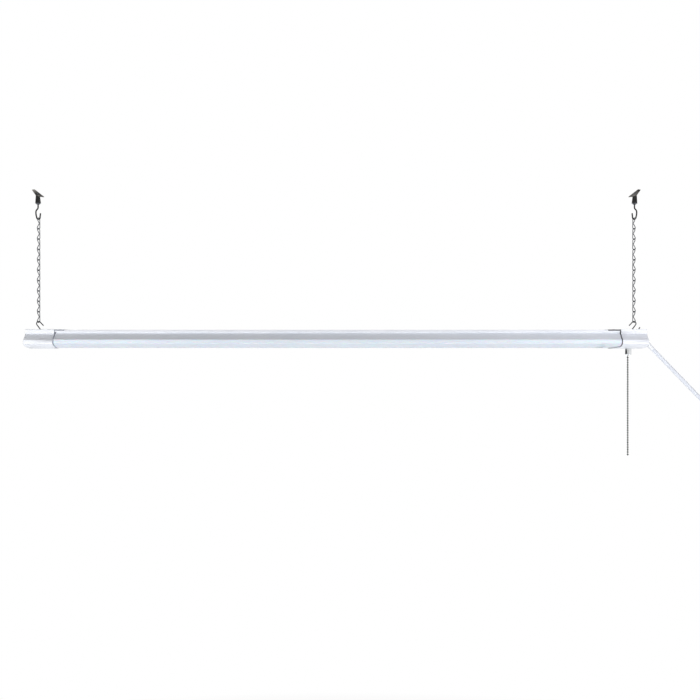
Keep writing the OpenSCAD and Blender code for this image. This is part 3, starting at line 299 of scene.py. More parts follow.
looks = {
    # white polyester powder coat on steel sheet: a faint orange peel of about 1.5 mm, satin gloss
    "whitePowderCoat": dict(colour="#f1f3f7", second="#eceff4", driftMm=60, grainMm=1.5, rough=(0.38, 0.5),
                            bump=0.1, fleck="#cfd0d4", fleckMm=2.2, fleckFrom=0.74, fleckShare=0.25,
                            sockets={"IOR": 1.5}),
    # moulded white ABS: fine spark-eroded texture of about 0.4 mm, drawn at 0.8 mm so that it shows
    "mouldedWhiteAbs": dict(colour="#f2f4f8", second="#eff1f6", driftMm=35, grainMm=0.8, rough=(0.3, 0.42),
                            bump=0.08, fleck="#dadcdf", fleckMm=1.6, fleckFrom=0.75, fleckShare=0.2,
                            softMm=1.5, sockets={"IOR": 1.53, "Coat Weight": 0.3, "Coat Roughness": 0.15}),
    # opal polycarbonate: extruded, faint lengthwise die lines, light carried inside it
    "opalPolycarbonate": dict(colour="#e2e8ee", second="#dee4eb", driftMm=80, grainMm=0.9,
                              stretch=(0.02, 1, 1), rough=(0.3, 0.38), bump=0.05,
                              sockets={"IOR": 1.58, "Subsurface Weight": 0.25, "Subsurface Scale": 0.003}),
    # black oxide on bent wire and sheet: oily satin, rubbed to bare steel on corners
    "blackOxideSteel": dict(colour="#262625", second="#171716", driftMm=3, grainMm=0.35, rough=(0.32, 0.48),
                            bump=0.18, metallic=0.6, wornEdge="#77746f", wearMm=0.2),
    # bright zinc on jack-chain wire: pale grey with darker bluish clouds and fine drawn scratches
    "zincPlatedWire": dict(colour="#6c6e72", second="#4d4f54", driftMm=4, grainMm=0.3, rough=(0.26, 0.42),
                           bump=0.2, metallic=1.0, fleck="#3b3d41", fleckMm=0.9, fleckFrom=0.62,
                           fleckShare=0.6),
    # dulled zinc on the S-hooks: darker, rough from handling
    "dulledZincWire": dict(colour="#444649", second="#2e3033", driftMm=3, grainMm=0.3, rough=(0.3, 0.48),
                           bump=0.22, metallic=1.0, fleck="#9a9da0", fleckMm=0.8, fleckFrom=0.66,
                           fleckShare=0.5),
    # pressed and zinc-plated toggle sheet: rolled grain along its length, brighter sheared edges
    "toggleSheetSteel": dict(colour="#94918d", second="#3b3a38", driftMm=14, grainMm=0.4,
                             stretch=(0.3, 1, 1), rough=(0.3, 0.45), bump=0.2, metallic=1.0,
                             wornEdge="#c3c1bd", wearMm=0.2),
    # phosphated bracket steel: charcoal crystal grain, scuffed pale where it was bent and screwed
    "phosphatedSteel": dict(colour="#5d5c60", second="#4a494d", driftMm=8, grainMm=0.5, rough=(0.42, 0.6),
                            bump=0.2, metallic=0.6, fleck="#8b8a8e", fleckMm=1.5, fleckFrom=0.66,
                            fleckShare=0.4, wornEdge="#9a989c", wearMm=0.3),
    # left bracket: the same sheet left galvanised, paler with a bluish bloom
    "galvanisedSheet": dict(colour="#a2a5b0", second="#8e929d", driftMm=9, grainMm=0.6, rough=(0.36, 0.52),
                            bump=0.15, metallic=0.5, fleck="#c2c5cc", fleckMm=1.8, fleckFrom=0.64,
                            fleckShare=0.5, wornEdge="#c9cbd0", wearMm=0.3),
    # polished chrome: mirror with hair-fine wipe marks
    "brightChrome": dict(colour="#e6e7e8", second="#dddfe1", driftMm=6, grainMm=0.5, stretch=(1, 1, 0.2),
                         rough=(0.05, 0.1), bump=0.02, metallic=1.0),
    # blackened bead chain: oxide skin with a dull shine, tarnished in patches of a bead's size
    "blackenedBeads": dict(colour="#19191a", second="#0f0f10", driftMm=5, grainMm=0.5, rough=(0.35, 0.5),
                           bump=0.05, metallic=0.15, sockets={"Specular IOR Level": 0.2}),
    # soft PVC jacket of the cord: extruded, satin, slight lengthwise flow lines and dust
    "pvcCordJacket": dict(colour="#dee1e8", second="#d9dce3", driftMm=30, grainMm=0.7, coords="UV",
                          stretch=(12, 0.15, 1), rough=(0.36, 0.48), bump=0.08, fleck="#d3d4d6", fleckMm=3,
                          fleckFrom=0.72, fleckShare=0.25, sockets={"IOR": 1.52}),
    # injection-moulded PVC of plug and strain relief: matt stipple of about 0.6 mm
    "mouldedPvc": dict(colour="#eeeff1", second="#e6e8eb", driftMm=12, grainMm=0.6, rough=(0.42, 0.55),
                       bump=0.16, sockets={"IOR": 1.52}),
    # nickel-plated brass pins: bright with fine draw marks towards the tip
    "platedBrass": dict(colour="#c9b071", second="#b99b58", driftMm=4, grainMm=0.3, stretch=(1, 1, 0.15),
                        rough=(0.18, 0.3), bump=0.08, metallic=1.0),
    # hook-and-loop tie: woven nylon tape, ribs of 0.8 mm round the bundle
    "wovenNylonTie": dict(colour="#d9dbdd", second="#cbcdd0", driftMm=6, grainMm=0.8, stretch=(0.2, 0.2, 1),
                          rough=(0.75, 0.9), bump=0.6, sockets={"Sheen Weight": 0.3}),
    # white solder mask on the lamp boards: glossy lacquer over copper, faint steps
    "whiteSolderMask": dict(colour="#eeeeea", second="#e6e6e0", driftMm=15, grainMm=0.9, rough=(0.22, 0.34),
                            bump=0.1),
    # phosphor cast in a lamp chip: soft yellow resin, slightly domed and glossy
    "phosphorResin": dict(colour="#e9cf5c", second="#dfc04a", driftMm=2, grainMm=0.4, rough=(0.2, 0.3),
                          bump=0.1),
    # vulcanised fibre sheet under the driver: warm paper grain of 1.2 mm
    "fibreSheet": dict(colour="#e2dccb", second="#d6cfbc", driftMm=9, grainMm=1.2, rough=(0.7, 0.85),
                       bump=0.25),
    # epoxy-glass board: green solder mask over a 1 mm weave
    "epoxyGlassBoard": dict(colour="#2a6339", second="#1f522d", driftMm=10, grainMm=1.0, rough=(0.28, 0.4),
                            bump=0.15),
    # moulded black components: matt thermoset
    "blackThermoset": dict(colour="#26262a", second="#1c1c1f", driftMm=7, grainMm=0.5, rough=(0.45, 0.6),
                           bump=0.2),
    # PVC lead insulation in its three colours: smooth, slightly glossy
    "blackLeadPvc": dict(colour="#1f1f22", second="#171719", driftMm=9, grainMm=0.6, rough=(0.34, 0.44),
                         bump=0.06),
    "whiteLeadPvc": dict(colour="#e6e6e6", second="#dcdcdd", driftMm=9, grainMm=0.6, rough=(0.34, 0.44),
                         bump=0.06),
    "greenLeadPvc": dict(colour="#3f9b4f", second="#338a43", driftMm=9, grainMm=0.6, rough=(0.34, 0.44),
                         bump=0.06),
    # brightened sheet of the reflector tray: white bake enamel
    "whiteBakeEnamel": dict(colour="#f0f0f1", second="#e9eaec", driftMm=40, grainMm=1.2, rough=(0.26, 0.36),
                            bump=0.06),
    # zinc-plated screw heads
    "zincScrew": dict(colour="#b4b6ba", second="#94979c", driftMm=2, grainMm=0.3, rough=(0.24, 0.4),
                      bump=0.15, metallic=1.0, wornEdge="#d5d6d8", wearMm=0.15),
}
finishes = {name: makeFinish(name, look) for name, look in looks.items()}
print("finishes made:", len(finishes))


# cord: strain relief to hank to plug

# relief is the tip of the strain relief, bend the way into the hank; run is the straight between two folds
# of the radius fold, draw how far its waist comes in, climb the step in y from one turn to the next
cordSpec = dict(width=7.6, relief=(616.672, 0, -284.826), slope=46, straight=6, step=22,
                bend=[(719, -1.4, -390.662), (727.2, -4, -399.762), (733.1, -7.6, -409.562),
                      (736.8, -11.2, -420.262), (738, -13.2, -431.162)],
                run=118, fold=24, draw=12, climb=8.8, turns=3, tail=34, sides=20, freeRings=40,
                hankRings=250)


def smoothThrough(knots, fine):
    # a curve through all knots, cubic between them, its slope at a knot that of its two neighbours
    knots = np.asarray(knots, float)
    d = np.concatenate([[0], np.cumsum(np.linalg.norm(np.diff(knots, axis=0), axis=1))])
    slope = np.gradient(knots, d, axis=0)
    at = np.linspace(0, d[-1], fine)
    i = np.clip(np.searchsorted(d, at, side="right") - 1, 0, len(d) - 2)
    h = (d[i + 1] - d[i])[:, None]
    t = (at - d[i])[:, None] / h
    return ((2 * t ** 3 - 3 * t ** 2 + 1) * knots[i] + (t ** 3 - 2 * t ** 2 + t) * h * slope[i]
            + (3 * t ** 2 - 2 * t ** 3) * knots[i + 1] + (t ** 3 - t ** 2) * h * slope[i + 1])


def hankLine(spec, count):
    # runs down x = near, round a half circle, up x = far while climbing in y, round again; waists drawn in
    near, start, top = spec["bend"][-1] - np.array([0, 0, spec["width"]])
    fold = math.pi * spec["fold"]
    turn = 2 * (spec["run"] + fold)
    total = spec["turns"] * turn + spec["run"] + spec["tail"]
    s = np.linspace(0, total, count)
    n = np.minimum(spec["turns"], np.floor(s / turn))
    q = s - turn * n
    y = start + spec["climb"] * n
    run, r = spec["run"], spec["fold"]
    drawIn = spec["draw"] * (1 - np.cos(2 * np.pi * np.clip(q / run, 0, 1))) / 2
    a = np.pi * (q - run) / fold
    w = np.clip((q - run - fold) / run, 0, 1)
    drawOut = spec["draw"] * (1 - np.cos(2 * np.pi * w)) / 2
    climbing = spec["climb"] * (1 - np.cos(np.pi * w)) / 2
    b = np.pi * (q - 2 * run - fold) / fold
    down, final = q < run, n == spec["turns"]
    low = ~down & ~final & (q < run + fold)
    up = ~down & ~final & ~low & (q < 2 * run + fold)
    back = ~down & ~final & ~low & ~up
    x = np.select([down, final, low, up, back],
                  [near + drawIn, near, near + r * (1 - np.cos(a)), near + 2 * r - drawOut,
                   near + r * (1 + np.cos(b))])
    z = np.select([down | final, low, up, back],
                  [top - q, top - run - r * np.sin(a), top - run * (1 - w), top + r * np.sin(b)])
    y = y + np.select([down | final | low, up, back], [0, climbing, spec["climb"]])
    return np.stack([x, y, z], 1)


slopeRad = math.radians(cordSpec["slope"])
reliefAxis = np.array([math.cos(slopeRad), 0, -math.sin(slopeRad)])
reliefOut = np.array(cordSpec["relief"])
freeKnots = np.concatenate([
    reliefOut + reliefAxis * cordSpec["step"] * np.arange(cordSpec["straight"] + 1)[:, None],
    cordSpec["bend"]])
cordPath = np.concatenate([smoothThrough(freeKnots, cordSpec["freeRings"]),
                           hankLine(cordSpec, cordSpec["hankRings"])])
cordEnd = cordPath[-1]
points, faces, uv = sweepTube(cordPath * mm, cordSpec["width"] / 2 * mm, (0, 1, 0), cordSpec["sides"])
supplyCord = addPiece("supplyCord", "fixture", finishes["pvcCordJacket"], points, faces,
                      ("supply_cord", "cord_hank"), uv=uv, hug=False)

# strain relief: plain seat, then a taper with five shallow rings of grooves
reliefSpec = dict(seat=7, collar=5, length=24, width=10, tip=8.2, rings=5, groove=0.32, groovesIn=3.2,
                  groovesOut=2.0, steps=160)
k = reliefSpec
along = np.linspace(0, k["seat"] + k["length"], k["steps"])
taper = np.interp(along, [0, k["seat"] + k["collar"], along[-1]], [k["width"], k["width"], k["tip"]]) / 2
phase = (along - k["seat"] - k["groovesIn"]) / (k["length"] - k["groovesIn"] - k["groovesOut"])
inside = (phase > 0) & (phase < 1)
taper -= k["groove"] * np.sqrt(np.where(inside, np.maximum(0, np.sin(phase * k["rings"] * 2 * np.pi)), 0))
profile = np.concatenate([[[0, 0]], [[taper[0] - 0.4, 0]], np.stack([taper, along], 1)[1:],
                          [[cordSpec["width"] / 2 - 0.1, along[-1] + 0.15]], [[0, along[-1] + 0.15]]])
reliefIn = reliefOut - reliefAxis * (k["seat"] + k["length"])
points, faces, uv = lathe(profile * mm, reliefIn * mm, 40, reliefAxis)
addPiece("strainRelief", "fixture", finishes["mouldedPvc"], points, faces, ("strain_relief",),
         sharp=50)

# plug: a round neck that swells into a waisted grip, as stacked rounded rectangles
# rings hold the drop below the cord's end, half the width and half the depth; square holds the power of
# each ring's outline by drop (2 is round); between the drops in lean the grip moves over to its middle
plugSpec = dict(
    rings=[(-1.0, 3.9, 3.9), (0, 4.3, 4.3), (4, 4.7, 4.7), (9, 5.1, 5.1), (14, 5.6, 5.6), (18, 6.1, 6.0),
           (22, 6.8, 6.6), (25, 8.2, 7.6), (29, 10.4, 9.4), (34, 11.6, 10.6), (39, 11.9, 11.0),
           (43, 11.8, 11.1), (47, 12.2, 11.5), (50, 12.9, 12.1), (52.5, 13.4, 12.4), (54.6, 13.5, 12.5),
           (55.6, 13.2, 12.2), (56, 12.6, 11.6)],
    square=[(0, 2), (18, 2), (30, 3.2), (56, 3.6)], lean=(16, 26), earthOff=11.9, sides=48)
level, halfX, halfY = np.array(plugSpec["rings"]).T
plugY = cordEnd[1] - plugSpec["earthOff"] / 4
power = np.interp(level, *zip(*plugSpec["square"]))
yShift = np.interp(level, plugSpec["lean"], [cordEnd[1], plugY])
turn = 2 * np.pi * np.arange(plugSpec["sides"]) / plugSpec["sides"]
cosT, sinT = np.cos(turn)[None], np.sin(turn)[None]
ringX = cordEnd[0] + halfX[:, None] * np.sign(cosT) * np.abs(cosT) ** (2 / power[:, None])
ringY = yShift[:, None] + halfY[:, None] * np.sign(sinT) * np.abs(sinT) ** (2 / power[:, None])
ringZ = np.broadcast_to(cordEnd[2] - level[:, None], ringX.shape)
points = np.stack([ringX, ringY, ringZ], 2).reshape(-1, 3)
faces = gridFaces(*ringX.shape, closeCols=True).tolist()
faces += [list(range(len(turn))), list(range(len(points) - len(turn), len(points)))[::-1]]
plugBody = addPiece("plugBody", "fixture", finishes["mouldedPvc"], points * mm, faces,
                    ("plug_body",), sharp=60)
plugPins = finishedCopy("plugPins", "fixture", finishes["platedBrass"], ["plug_pins"], 0.35)
cordTie = finishedCopy("cordTie", "fixture", finishes["wovenNylonTie"], ["cord_tie"], 0.5)


# ceiling hooks, chains and S-hooks: bent round wire

hangX = 580
# bends are radii at the middle of the wire, from the rod down: upper, belly, gentle, bottom
hookSpec = dict(wire=2.8, seatIn=1.3, rodX=0.9, seatY=-0.6, bottomX=0.3, bottom=3.1, drop=31.6, gentle=34.5,
                gentleTurn=19.5, belly=7.6, upper=5, legTurn=6, leg=9, rodHigh=8)
# loop is the radius of both loops, turn how far the lower one stands off the light's length
linkSpec = dict(wire=1.6, pitch=20.2, loop=3.3, turn=30, waistGap=0.2, gap=0.23, hookGap=0.5, count=10)
# open and the leans are degrees; free and the tips are the straight ends of the upper and lower bend
shookSpec = dict(wire=2.0, upper=4.2, lower=5.8, shank=11.2, rightTip=12.5, leftTip=8, free=10, lean=38,
                 open=45, tipLean=30, gap=0.4, seatY=0.3)


def sidePlane(points2, turnZ=0.0):  # flat (x, z) points stood up in space and turned about z
    p = np.stack([points2[:, 0], np.zeros(len(points2)), points2[:, 1]], 1)
    return turned(p, "z", turnZ)


def wirePiece(name, body, finish, path, side, wire, stands, sides=16, tip=0.35):
    # a tube along the path whose two ends shrink on a quarter circle of radius tip
    d = np.concatenate([[0], np.cumsum(np.linalg.norm(np.diff(path, axis=0), axis=1))])
    ends = endSteps(d[-1], tip)
    inner = d[(d > tip * 1.4) & (d < d[-1] - tip * 1.4)]
    at = np.unique(np.concatenate([ends, inner]))
    line = resample(path, at)
    if np.ndim(side) == 2:  # a side direction of its own for each point of the path
        side = np.stack([np.interp(at, d, side[:, k]) for k in range(3)], 1)
    points, faces, uv = sweepTube(line * mm, wire / 2 * mm, side, sides, tip * mm)
    return addPiece(name, body, finish, points, faces, stands, sharp=60, uv=uv, hug=False)


def ceilingHook(side):
    # arcs that meet without a kink: each centre lies in line with the last centre and their meeting point
    h = hookSpec
    centreX, centreZ = h["bottomX"] - h["rodX"], -h["drop"] + h["bottom"]
    g = math.radians(h["gentleTurn"])
    bellyX = centreX + h["bottom"] * math.cos(g) + h["gentle"] * (1 - math.cos(g))
    bellyZ = centreZ - h["bottom"] * math.sin(g) + h["gentle"] * math.sin(g)
    bend = math.degrees(math.acos(1 - bellyX / (h["upper"] + h["belly"])))
    lowZ = bellyZ + (h["upper"] + h["belly"]) * math.sin(math.radians(bend))
    lean = math.radians(h["legTurn"])
    leg = np.array([centreX, centreZ]) - h["bottom"] * np.array([math.cos(lean), math.sin(lean)])
    path = np.concatenate([
        [[0, h["rodHigh"]], [0, 2], [0, lowZ + 0.5]],  # the straight rod
        arc((h["upper"], lowZ), h["upper"], 180, 180 + bend, 9),
        arc((bellyX - h["belly"], bellyZ), h["belly"], bend, 0, 12)[1:],
        arc((bellyX - h["gentle"], bellyZ), h["gentle"], 0, -h["gentleTurn"], 9)[1:],
        arc((centreX, centreZ), h["bottom"], -h["gentleTurn"], h["legTurn"] - 180, 18)[1:],
        [leg + h["leg"] * np.array([-math.sin(lean), math.cos(lean)]) * t for t in (0.3, 0.7, 1)]])
    p = np.stack([hangX + h["rodX"] + path[:, 0], np.full(len(path), h["seatY"]), path[:, 1]], 1)
    if side < 0:
        p = p * [-1, 1, 1]
    name = "right" if side > 0 else "left"
    wirePiece(name + "CeilingHook", "ceiling_hooks", finishes["blackOxideSteel"], p,
              (0, 1, 0), h["wire"], (name + "_ceiling_hook",), 20)


def turnDirection(degrees):  # unit vector in the level plane
    return np.array([math.cos(math.radians(degrees)), math.sin(math.radians(degrees)), 0])


def plainLink():
    # each half is a leg and a loop in an upright plane, the upper plane a quarter turn back from the lower;
    # a straight side joins both loops, and the whole is tilted until the two loops hang under one another
    k = linkSpec
    r, drop = k["loop"], k["pitch"] + k["wire"] + k["gap"]
    height = math.sqrt(drop ** 2 - 2 * r ** 2)
    cz = height / 2 - r
    waist = k["wire"] + k["waistGap"]
    lr = math.atan((r - waist) / cz) + math.asin(r / math.hypot(cz, r - waist))
    legLen = (cz - r * math.sin(lr)) / math.cos(lr)
    foot = np.array([r + r * math.cos(lr), cz - r * math.sin(lr)])
    leg = foot - legLen * np.array([math.sin(lr), math.cos(lr)])
    half = np.concatenate([[leg, leg * 0.55 + foot * 0.45], arc((r, cz), r, -math.degrees(lr), 180, 26)])
    upper = sidePlane(half, k["turn"] - 90)
    lower = sidePlane(half * [1, -1], k["turn"])[::-1]
    upSide, lowSide = turnDirection(k["turn"]), turnDirection(k["turn"] + 90)
    t = np.linspace(0, 1, 8)[1:-1, None]  # down the straight side the ring directions turn over
    middle = upper[-1] * (1 - t) + lower[0] * t
    blend = upSide * (1 - t) + lowSide * t
    path = np.concatenate([upper, middle, lower])
    sides = np.concatenate([np.tile(upSide, (len(upper), 1)),
                            blend / np.linalg.norm(blend, axis=1)[:, None],
                            np.tile(lowSide, (len(lower), 1))])
    upAt, lowAt = r * turnDirection(k["turn"] - 90), r * turnDirection(k["turn"])
    span, mid = lowAt - upAt, (lowAt + upAt) / 2
    swing = math.degrees(math.atan2(span[1], span[0]))
    tilt = math.degrees(math.atan2(np.linalg.norm(span), height))
    place = lambda points: turned(turned(turned(points, "z", -swing), "y", tilt), "z", swing)
    return place(path - mid) + [0, 0, -drop / 2], place(sides)


linkPath, linkSides = plainLink()
linkTop = -hookSpec["drop"] + hookSpec["seatIn"] + linkSpec["wire"] / 2 + linkSpec["hookGap"]
linkDrop = linkSpec["pitch"] + linkSpec["wire"] + linkSpec["gap"]
lastLow = linkTop - (linkSpec["count"] - 1) * linkSpec["pitch"] - linkDrop
shookTop = lastLow + (linkSpec["wire"] + shookSpec["wire"]) / 2 + shookSpec["gap"]


def hungChain(side):
    # the same link again and again, each a pitch lower; only the first one is on a body of its own
    name = "right" if side > 0 else "left"
    mirror = [side, 1, 1]
    for i in range(linkSpec["count"]):
        path = (linkPath + [hangX, 0, linkTop - i * linkSpec["pitch"]]) * mirror
        body = name + ("_top_link" if i == 0 else "_chain")
        wirePiece(f"{name}Link{i + 1}", body, finishes["zincPlatedWire"], path,
                  linkSides * mirror, linkSpec["wire"], (f"{name}_link_{i + 1}",))


def hungShook(side):
    # free end, upper arc, leaning shank, lower arc and tip in one plane, turned with the last loop and then
    # tipped about x so that the lower bend comes to lie under the upper one
    s = shookSpec
    name = "right" if side > 0 else "left"
    lean, tipLean, opened = s["lean"], s["tipLean"], math.radians(s["open"])
    upper = np.array([0, shookTop - s["upper"]])
    both = s["upper"] + s["lower"]
    lower = upper + [both * math.cos(math.radians(lean)) - s["shank"] * math.sin(math.radians(lean)),
                     -both * math.sin(math.radians(lean)) - s["shank"] * math.cos(math.radians(lean))]
    free = upper + s["upper"] * np.array([-math.sin(opened), math.cos(opened)])
    tip = lower + s["lower"] * np.array([math.cos(math.radians(tipLean)), -math.sin(math.radians(tipLean))])
    up = np.array([math.sin(math.radians(tipLean)), math.cos(math.radians(tipLean))])
    path = np.concatenate([
        [free - s["free"] * np.array([math.cos(opened), math.sin(opened)]) * t for t in (1, 0.5)],
        arc(upper, s["upper"], 90 + s["open"], -lean, 24),
        arc(lower, s["lower"], 180 - lean, 360 - tipLean, 30),
        [tip + s[name + "Tip"] * up * t for t in (0.5, 1)]])
    p = sidePlane(path, -linkSpec["turn"])
    offY = lower[0] * math.sin(math.radians(linkSpec["turn"])) - s["seatY"]
    levelTurn = math.degrees(math.asin(offY / math.hypot(offY, shookTop - lower[1] + s["lower"])))
    p = turned(p - [0, 0, shookTop], "x", levelTurn) + [hangX, s["seatY"], shookTop]
    across = turned(turned(np.array([[0, 1.0, 0]]), "z", -linkSpec["turn"]), "x", levelTurn)[0]
    mirror = np.array([side, 1, 1])
    wirePiece(name + "Shook", name + "_hook", finishes["dulledZincWire"], p * mirror,
              across * mirror, s["wire"], (name + "_s_hook",), 18)


for side in (-1, 1):
    name = "right" if side > 0 else "left"
    ceilingHook(side)
    hungChain(side)
    hungShook(side)
    finishedCopy(name + "HookCollar", "ceiling_hooks", finishes["zincPlatedWire"],
                 [name + "_hook_collar"], 0.25)
    finishedCopy(name + "ToggleYoke", "ceiling_hooks", finishes["blackOxideSteel"],
                 [name + "_toggle_yoke"], 0.2)
    finishedCopy(name + "TogglePin", "ceiling_hooks", finishes["zincPlatedWire"],
                 [name + "_toggle_pin"], 0.2)
    finishedCopy(name + "ToggleBar", name + "_toggle", finishes["toggleSheetSteel"],
                 [name + "_toggle_bar"], 0.15)
print("hooks and chains hung")


# body: housing and lens

# heights are measured down from the top: lipH, neckZ, shoulder; side and sag come below one another
# bends are the radii of the half section's corners from the flange up to the top
bodySpec = dict(top=-247.562, x0=-542, x1=548, width=109, lip=64, lipH=4.2, neck=52, neckZ=5.1,
                shoulder=19.6, side=6.4, sag=9, sheet=1.2, lens=1.5, lensEdge=1.4, fit=0.1, lengths=24,
                bends=[0, 1.6, 0.6, 0.5, 1.3])
b = bodySpec
slope = (b["shoulder"] - b["neckZ"]) / (b["width"] / 2 - b["neck"] / 2)
depth = b["shoulder"] + b["side"] + b["sag"]
lensR = ((b["width"] / 2) ** 2 + b["sag"] ** 2) / (2 * b["sag"])
flangeHalf = b["width"] / 2 - b["lens"] - b["fit"]
lensInside = depth - lensR + math.sqrt((lensR - b["lens"]) ** 2 - flangeHalf ** 2)
flangeLow = lensInside - b["fit"]


def mirrorLine(half):  # the +y half from the bottom up, then its mirror image back down
    half = np.asarray(half, float)
    return np.concatenate([half, half[::-1] * [-1, 1]])


slopeLow = b["neckZ"] + (flangeHalf - b["neck"] / 2) * slope
outline = mirrorLine([[flangeHalf, -flangeLow], [flangeHalf, -slopeLow], [b["neck"] / 2, -b["neckZ"]],
                      [b["lip"] / 2, -b["lipH"]], [b["lip"] / 2, 0]])
stations = np.linspace(b["x0"], b["x1"], b["lengths"])
outer = roundCorners(outline, b["bends"] + b["bends"][::-1], 6)
inner = offsetLine(outer, b["sheet"])
points, faces = sheetAlongX(outer + [0, b["top"]], inner + [0, b["top"]], stations)
addPiece("housing", "fixture", finishes["whitePowderCoat"], points * mm, faces, ("housing",),
         sharp=40)

sideTop = b["neckZ"] + (b["width"] / 2 - b["lens"] - b["neck"] / 2) * slope + b["fit"]
rim = math.degrees(math.asin(b["width"] / 2 / lensR))
under = arc((0, -depth + lensR), lensR, 270 + rim, 270 - rim, 61)
line = np.concatenate([[[b["width"] / 2, -sideTop]], under, [[-b["width"] / 2, -sideTop]]])
soft = np.zeros(len(line))
soft[[1, -2]] = b["lensEdge"]
line = roundCorners(line, soft, 7)
apart = np.linalg.norm(np.diff(line, axis=0), axis=1) > 1e-4
line = line[np.concatenate([[True], apart])]
points, faces = sheetAlongX(line + [0, b["top"]], offsetLine(line, -b["lens"]) + [0, b["top"]], stations)
addPiece("lens", "fixture", finishes["opalPolycarbonate"], points * mm, faces, ("lens",),
         sharp=40)
print("body made")


# end caps, brackets and screws

for name, bracketFinish in (("left", "galvanisedSheet"), ("right", "phosphatedSteel")):
    finishedCopy(name + "EndCap", "fixture", finishes["mouldedWhiteAbs"],
                 [name + "_end_cap"], 0.7, 3, least=12)
    finishedCopy(name + "EndBracket", "fixture", finishes[bracketFinish],
                 [name + "_end_bracket"], 0.25)
finishedCopy("bracketScrews", "fixture", finishes["zincScrew"], ["bracket_screws"], 0.25)


# pull switch

# ferrule, mouth, bushing, stem, bead and beadWire are diameters; coupler is the point the chain swings
# from, firstBead and tail how far below it the first bead and the wire begin
switchSpec = dict(x=569, chainX=567.8, ferruleLow=-295.762, ferrule=12.8, height=12.4, mouth=7.4,
                  mouthH=4.2, bushing=9, seam=0.22, stem=3.2, stemBall=4.4, ballZ=-294.562,
                  coupler=-296.762, bead=3.6, pitch=4.72, beads=41, firstBead=4.4, beadWire=0.6, tail=2.5)
w = switchSpec
r, low, high = w["ferrule"] / 2, w["ferruleLow"], w["ferruleLow"] + w["height"]
mouth, neck = w["mouth"] / 2, w["bushing"] / 2 + 0.02
ferrule = [[mouth, low + w["mouthH"]], [mouth, low + 0.5], [mouth + 0.4, low + 0.12], [mouth + 0.9, low],
           [r - 1.5, low], [r - 0.95, low + 0.12], [r - 0.35, low + 0.5], [r - 0.08, low + 1.0],
           [r, low + 1.4], [r, low + 1.7],  # over the rolled rim, on to the seam
           [r, low + 8.6], [r - w["seam"], low + 8.8], [r - w["seam"], low + 9.3], [r, low + 9.5],
           [r, high - 0.2], [r - 0.2, high], [neck, high], [neck, low + w["mouthH"]],
           [mouth, low + w["mouthH"]]]
points, faces, uv = lathe(np.array(ferrule) * mm, (w["x"] * mm, 0, 0), 64)
addPiece("switchFerrule", "fixture", finishes["brightChrome"], points, faces,
         ("switch_ferrule",), sharp=18)
ball = w["stemBall"] / 2
swell = np.radians(np.linspace(-90, 46, 14))
stemTop, stemR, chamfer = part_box("pull_stem")[1][2] / mm, w["stem"] / 2, 0.3
stem = [[ball * math.cos(a), w["ballZ"] + ball * math.sin(a)] for a in swell]
stem += [[stemR, w["ballZ"] + 1.7], [stemR, stemTop - chamfer], [stemR - chamfer, stemTop], [0, stemTop]]
stem[0][0] = 0
points, faces, uv = lathe(np.array(stem) * mm, (w["x"] * mm, 0, 0), 32)
addPiece("pullStem", "pull", finishes["blackOxideSteel"], points, faces, ("pull_stem",),
         sharp=50)
clasp = np.array([[0, 0], [0.2, -0.05], [0.28, -0.35], [0.45, -0.55], [0.76, -0.88], [0.9, -1.3],
                  [0.8, -1.7], [0.6, -2.1], [0.6, -2.5], [0.45, -2.6], [0, -2.6]]) + [0, w["coupler"]]
points, faces, uv = lathe(clasp * mm, (w["chainX"] * mm, 0, 0), 24)
addPiece("chainCoupler", "pull_chain", finishes["blackOxideSteel"], points, faces,
         ("chain_coupler",), sharp=60)


def beadChain(spec):
    # one bead is a lathed ball with a small seam; all beads are that shape moved down by the pitch
    a = np.linspace(-82, 82, 13)
    ball = np.stack([np.cos(np.radians(a)), np.sin(np.radians(a))], 1) * spec["bead"] / 2
    ball[len(a) // 2, 0] += 0.05  # the seam
    ball = np.concatenate([[[0, ball[0, 1]]], ball, [[0, ball[-1, 1]]]])
    one, quads, uv = lathe(ball, (spec["chainX"], 0, 0), 16)
    drop = np.arange(spec["beads"]) * spec["pitch"]
    centres = spec["coupler"] - spec["firstBead"] - drop
    points = (one[None] + np.stack([0 * drop, 0 * drop, centres], 1)[:, None]).reshape(-1, 3)
    faces = (quads[None] + (np.arange(spec["beads"]) * len(one))[:, None, None]).reshape(-1, 4)
    start, wireR = spec["coupler"] - spec["tail"], spec["beadWire"] / 2
    wire = [[0, start], [wireR, start], [wireR, centres[-1]], [0, centres[-1]]]
    rod, rodFaces, uv = lathe(np.array(wire), (spec["chainX"], 0, 0), 12)
    faces = faces.tolist() + (rodFaces + len(points)).tolist()
    return np.concatenate([points, rod]), faces


points, faces = beadChain(w)
addPiece("beadChain", "pull_chain", finishes["blackenedBeads"], points * mm, faces,
         ("bead_chain",), sharp=60)
print("switch made")


# inner parts keep their CAD shape and get real finishes

innerFinish = {
    "reflector_tray": "whiteBakeEnamel", "led_board_front": "whiteSolderMask",
    "led_board_rear": "whiteSolderMask", "leds": "phosphorResin", "driver_insulator": "fibreSheet",
    "driver_board": "epoxyGlassBoard", "driver_parts": "blackThermoset", "switch_body": "blackThermoset",
    "live_lead": "blackLeadPvc", "neutral_lead": "whiteLeadPvc", "earth_lead": "greenLeadPvc"}
for node, finish in innerFinish.items():
    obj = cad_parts[node]
    obj.data.materials.clear()
    obj.data.materials.append(finishes[finish])


# stage, lights, camera; metres and watts

# within near of the middle the floor shows its shadow by 1 - nearShare, beyond far it is plain white
stageSpec = dict(floor=-1.30, size=14.0, fill=0.05, fillTint="#dbe4ff", near=1.3, far=2.2, nearShare=0.55)


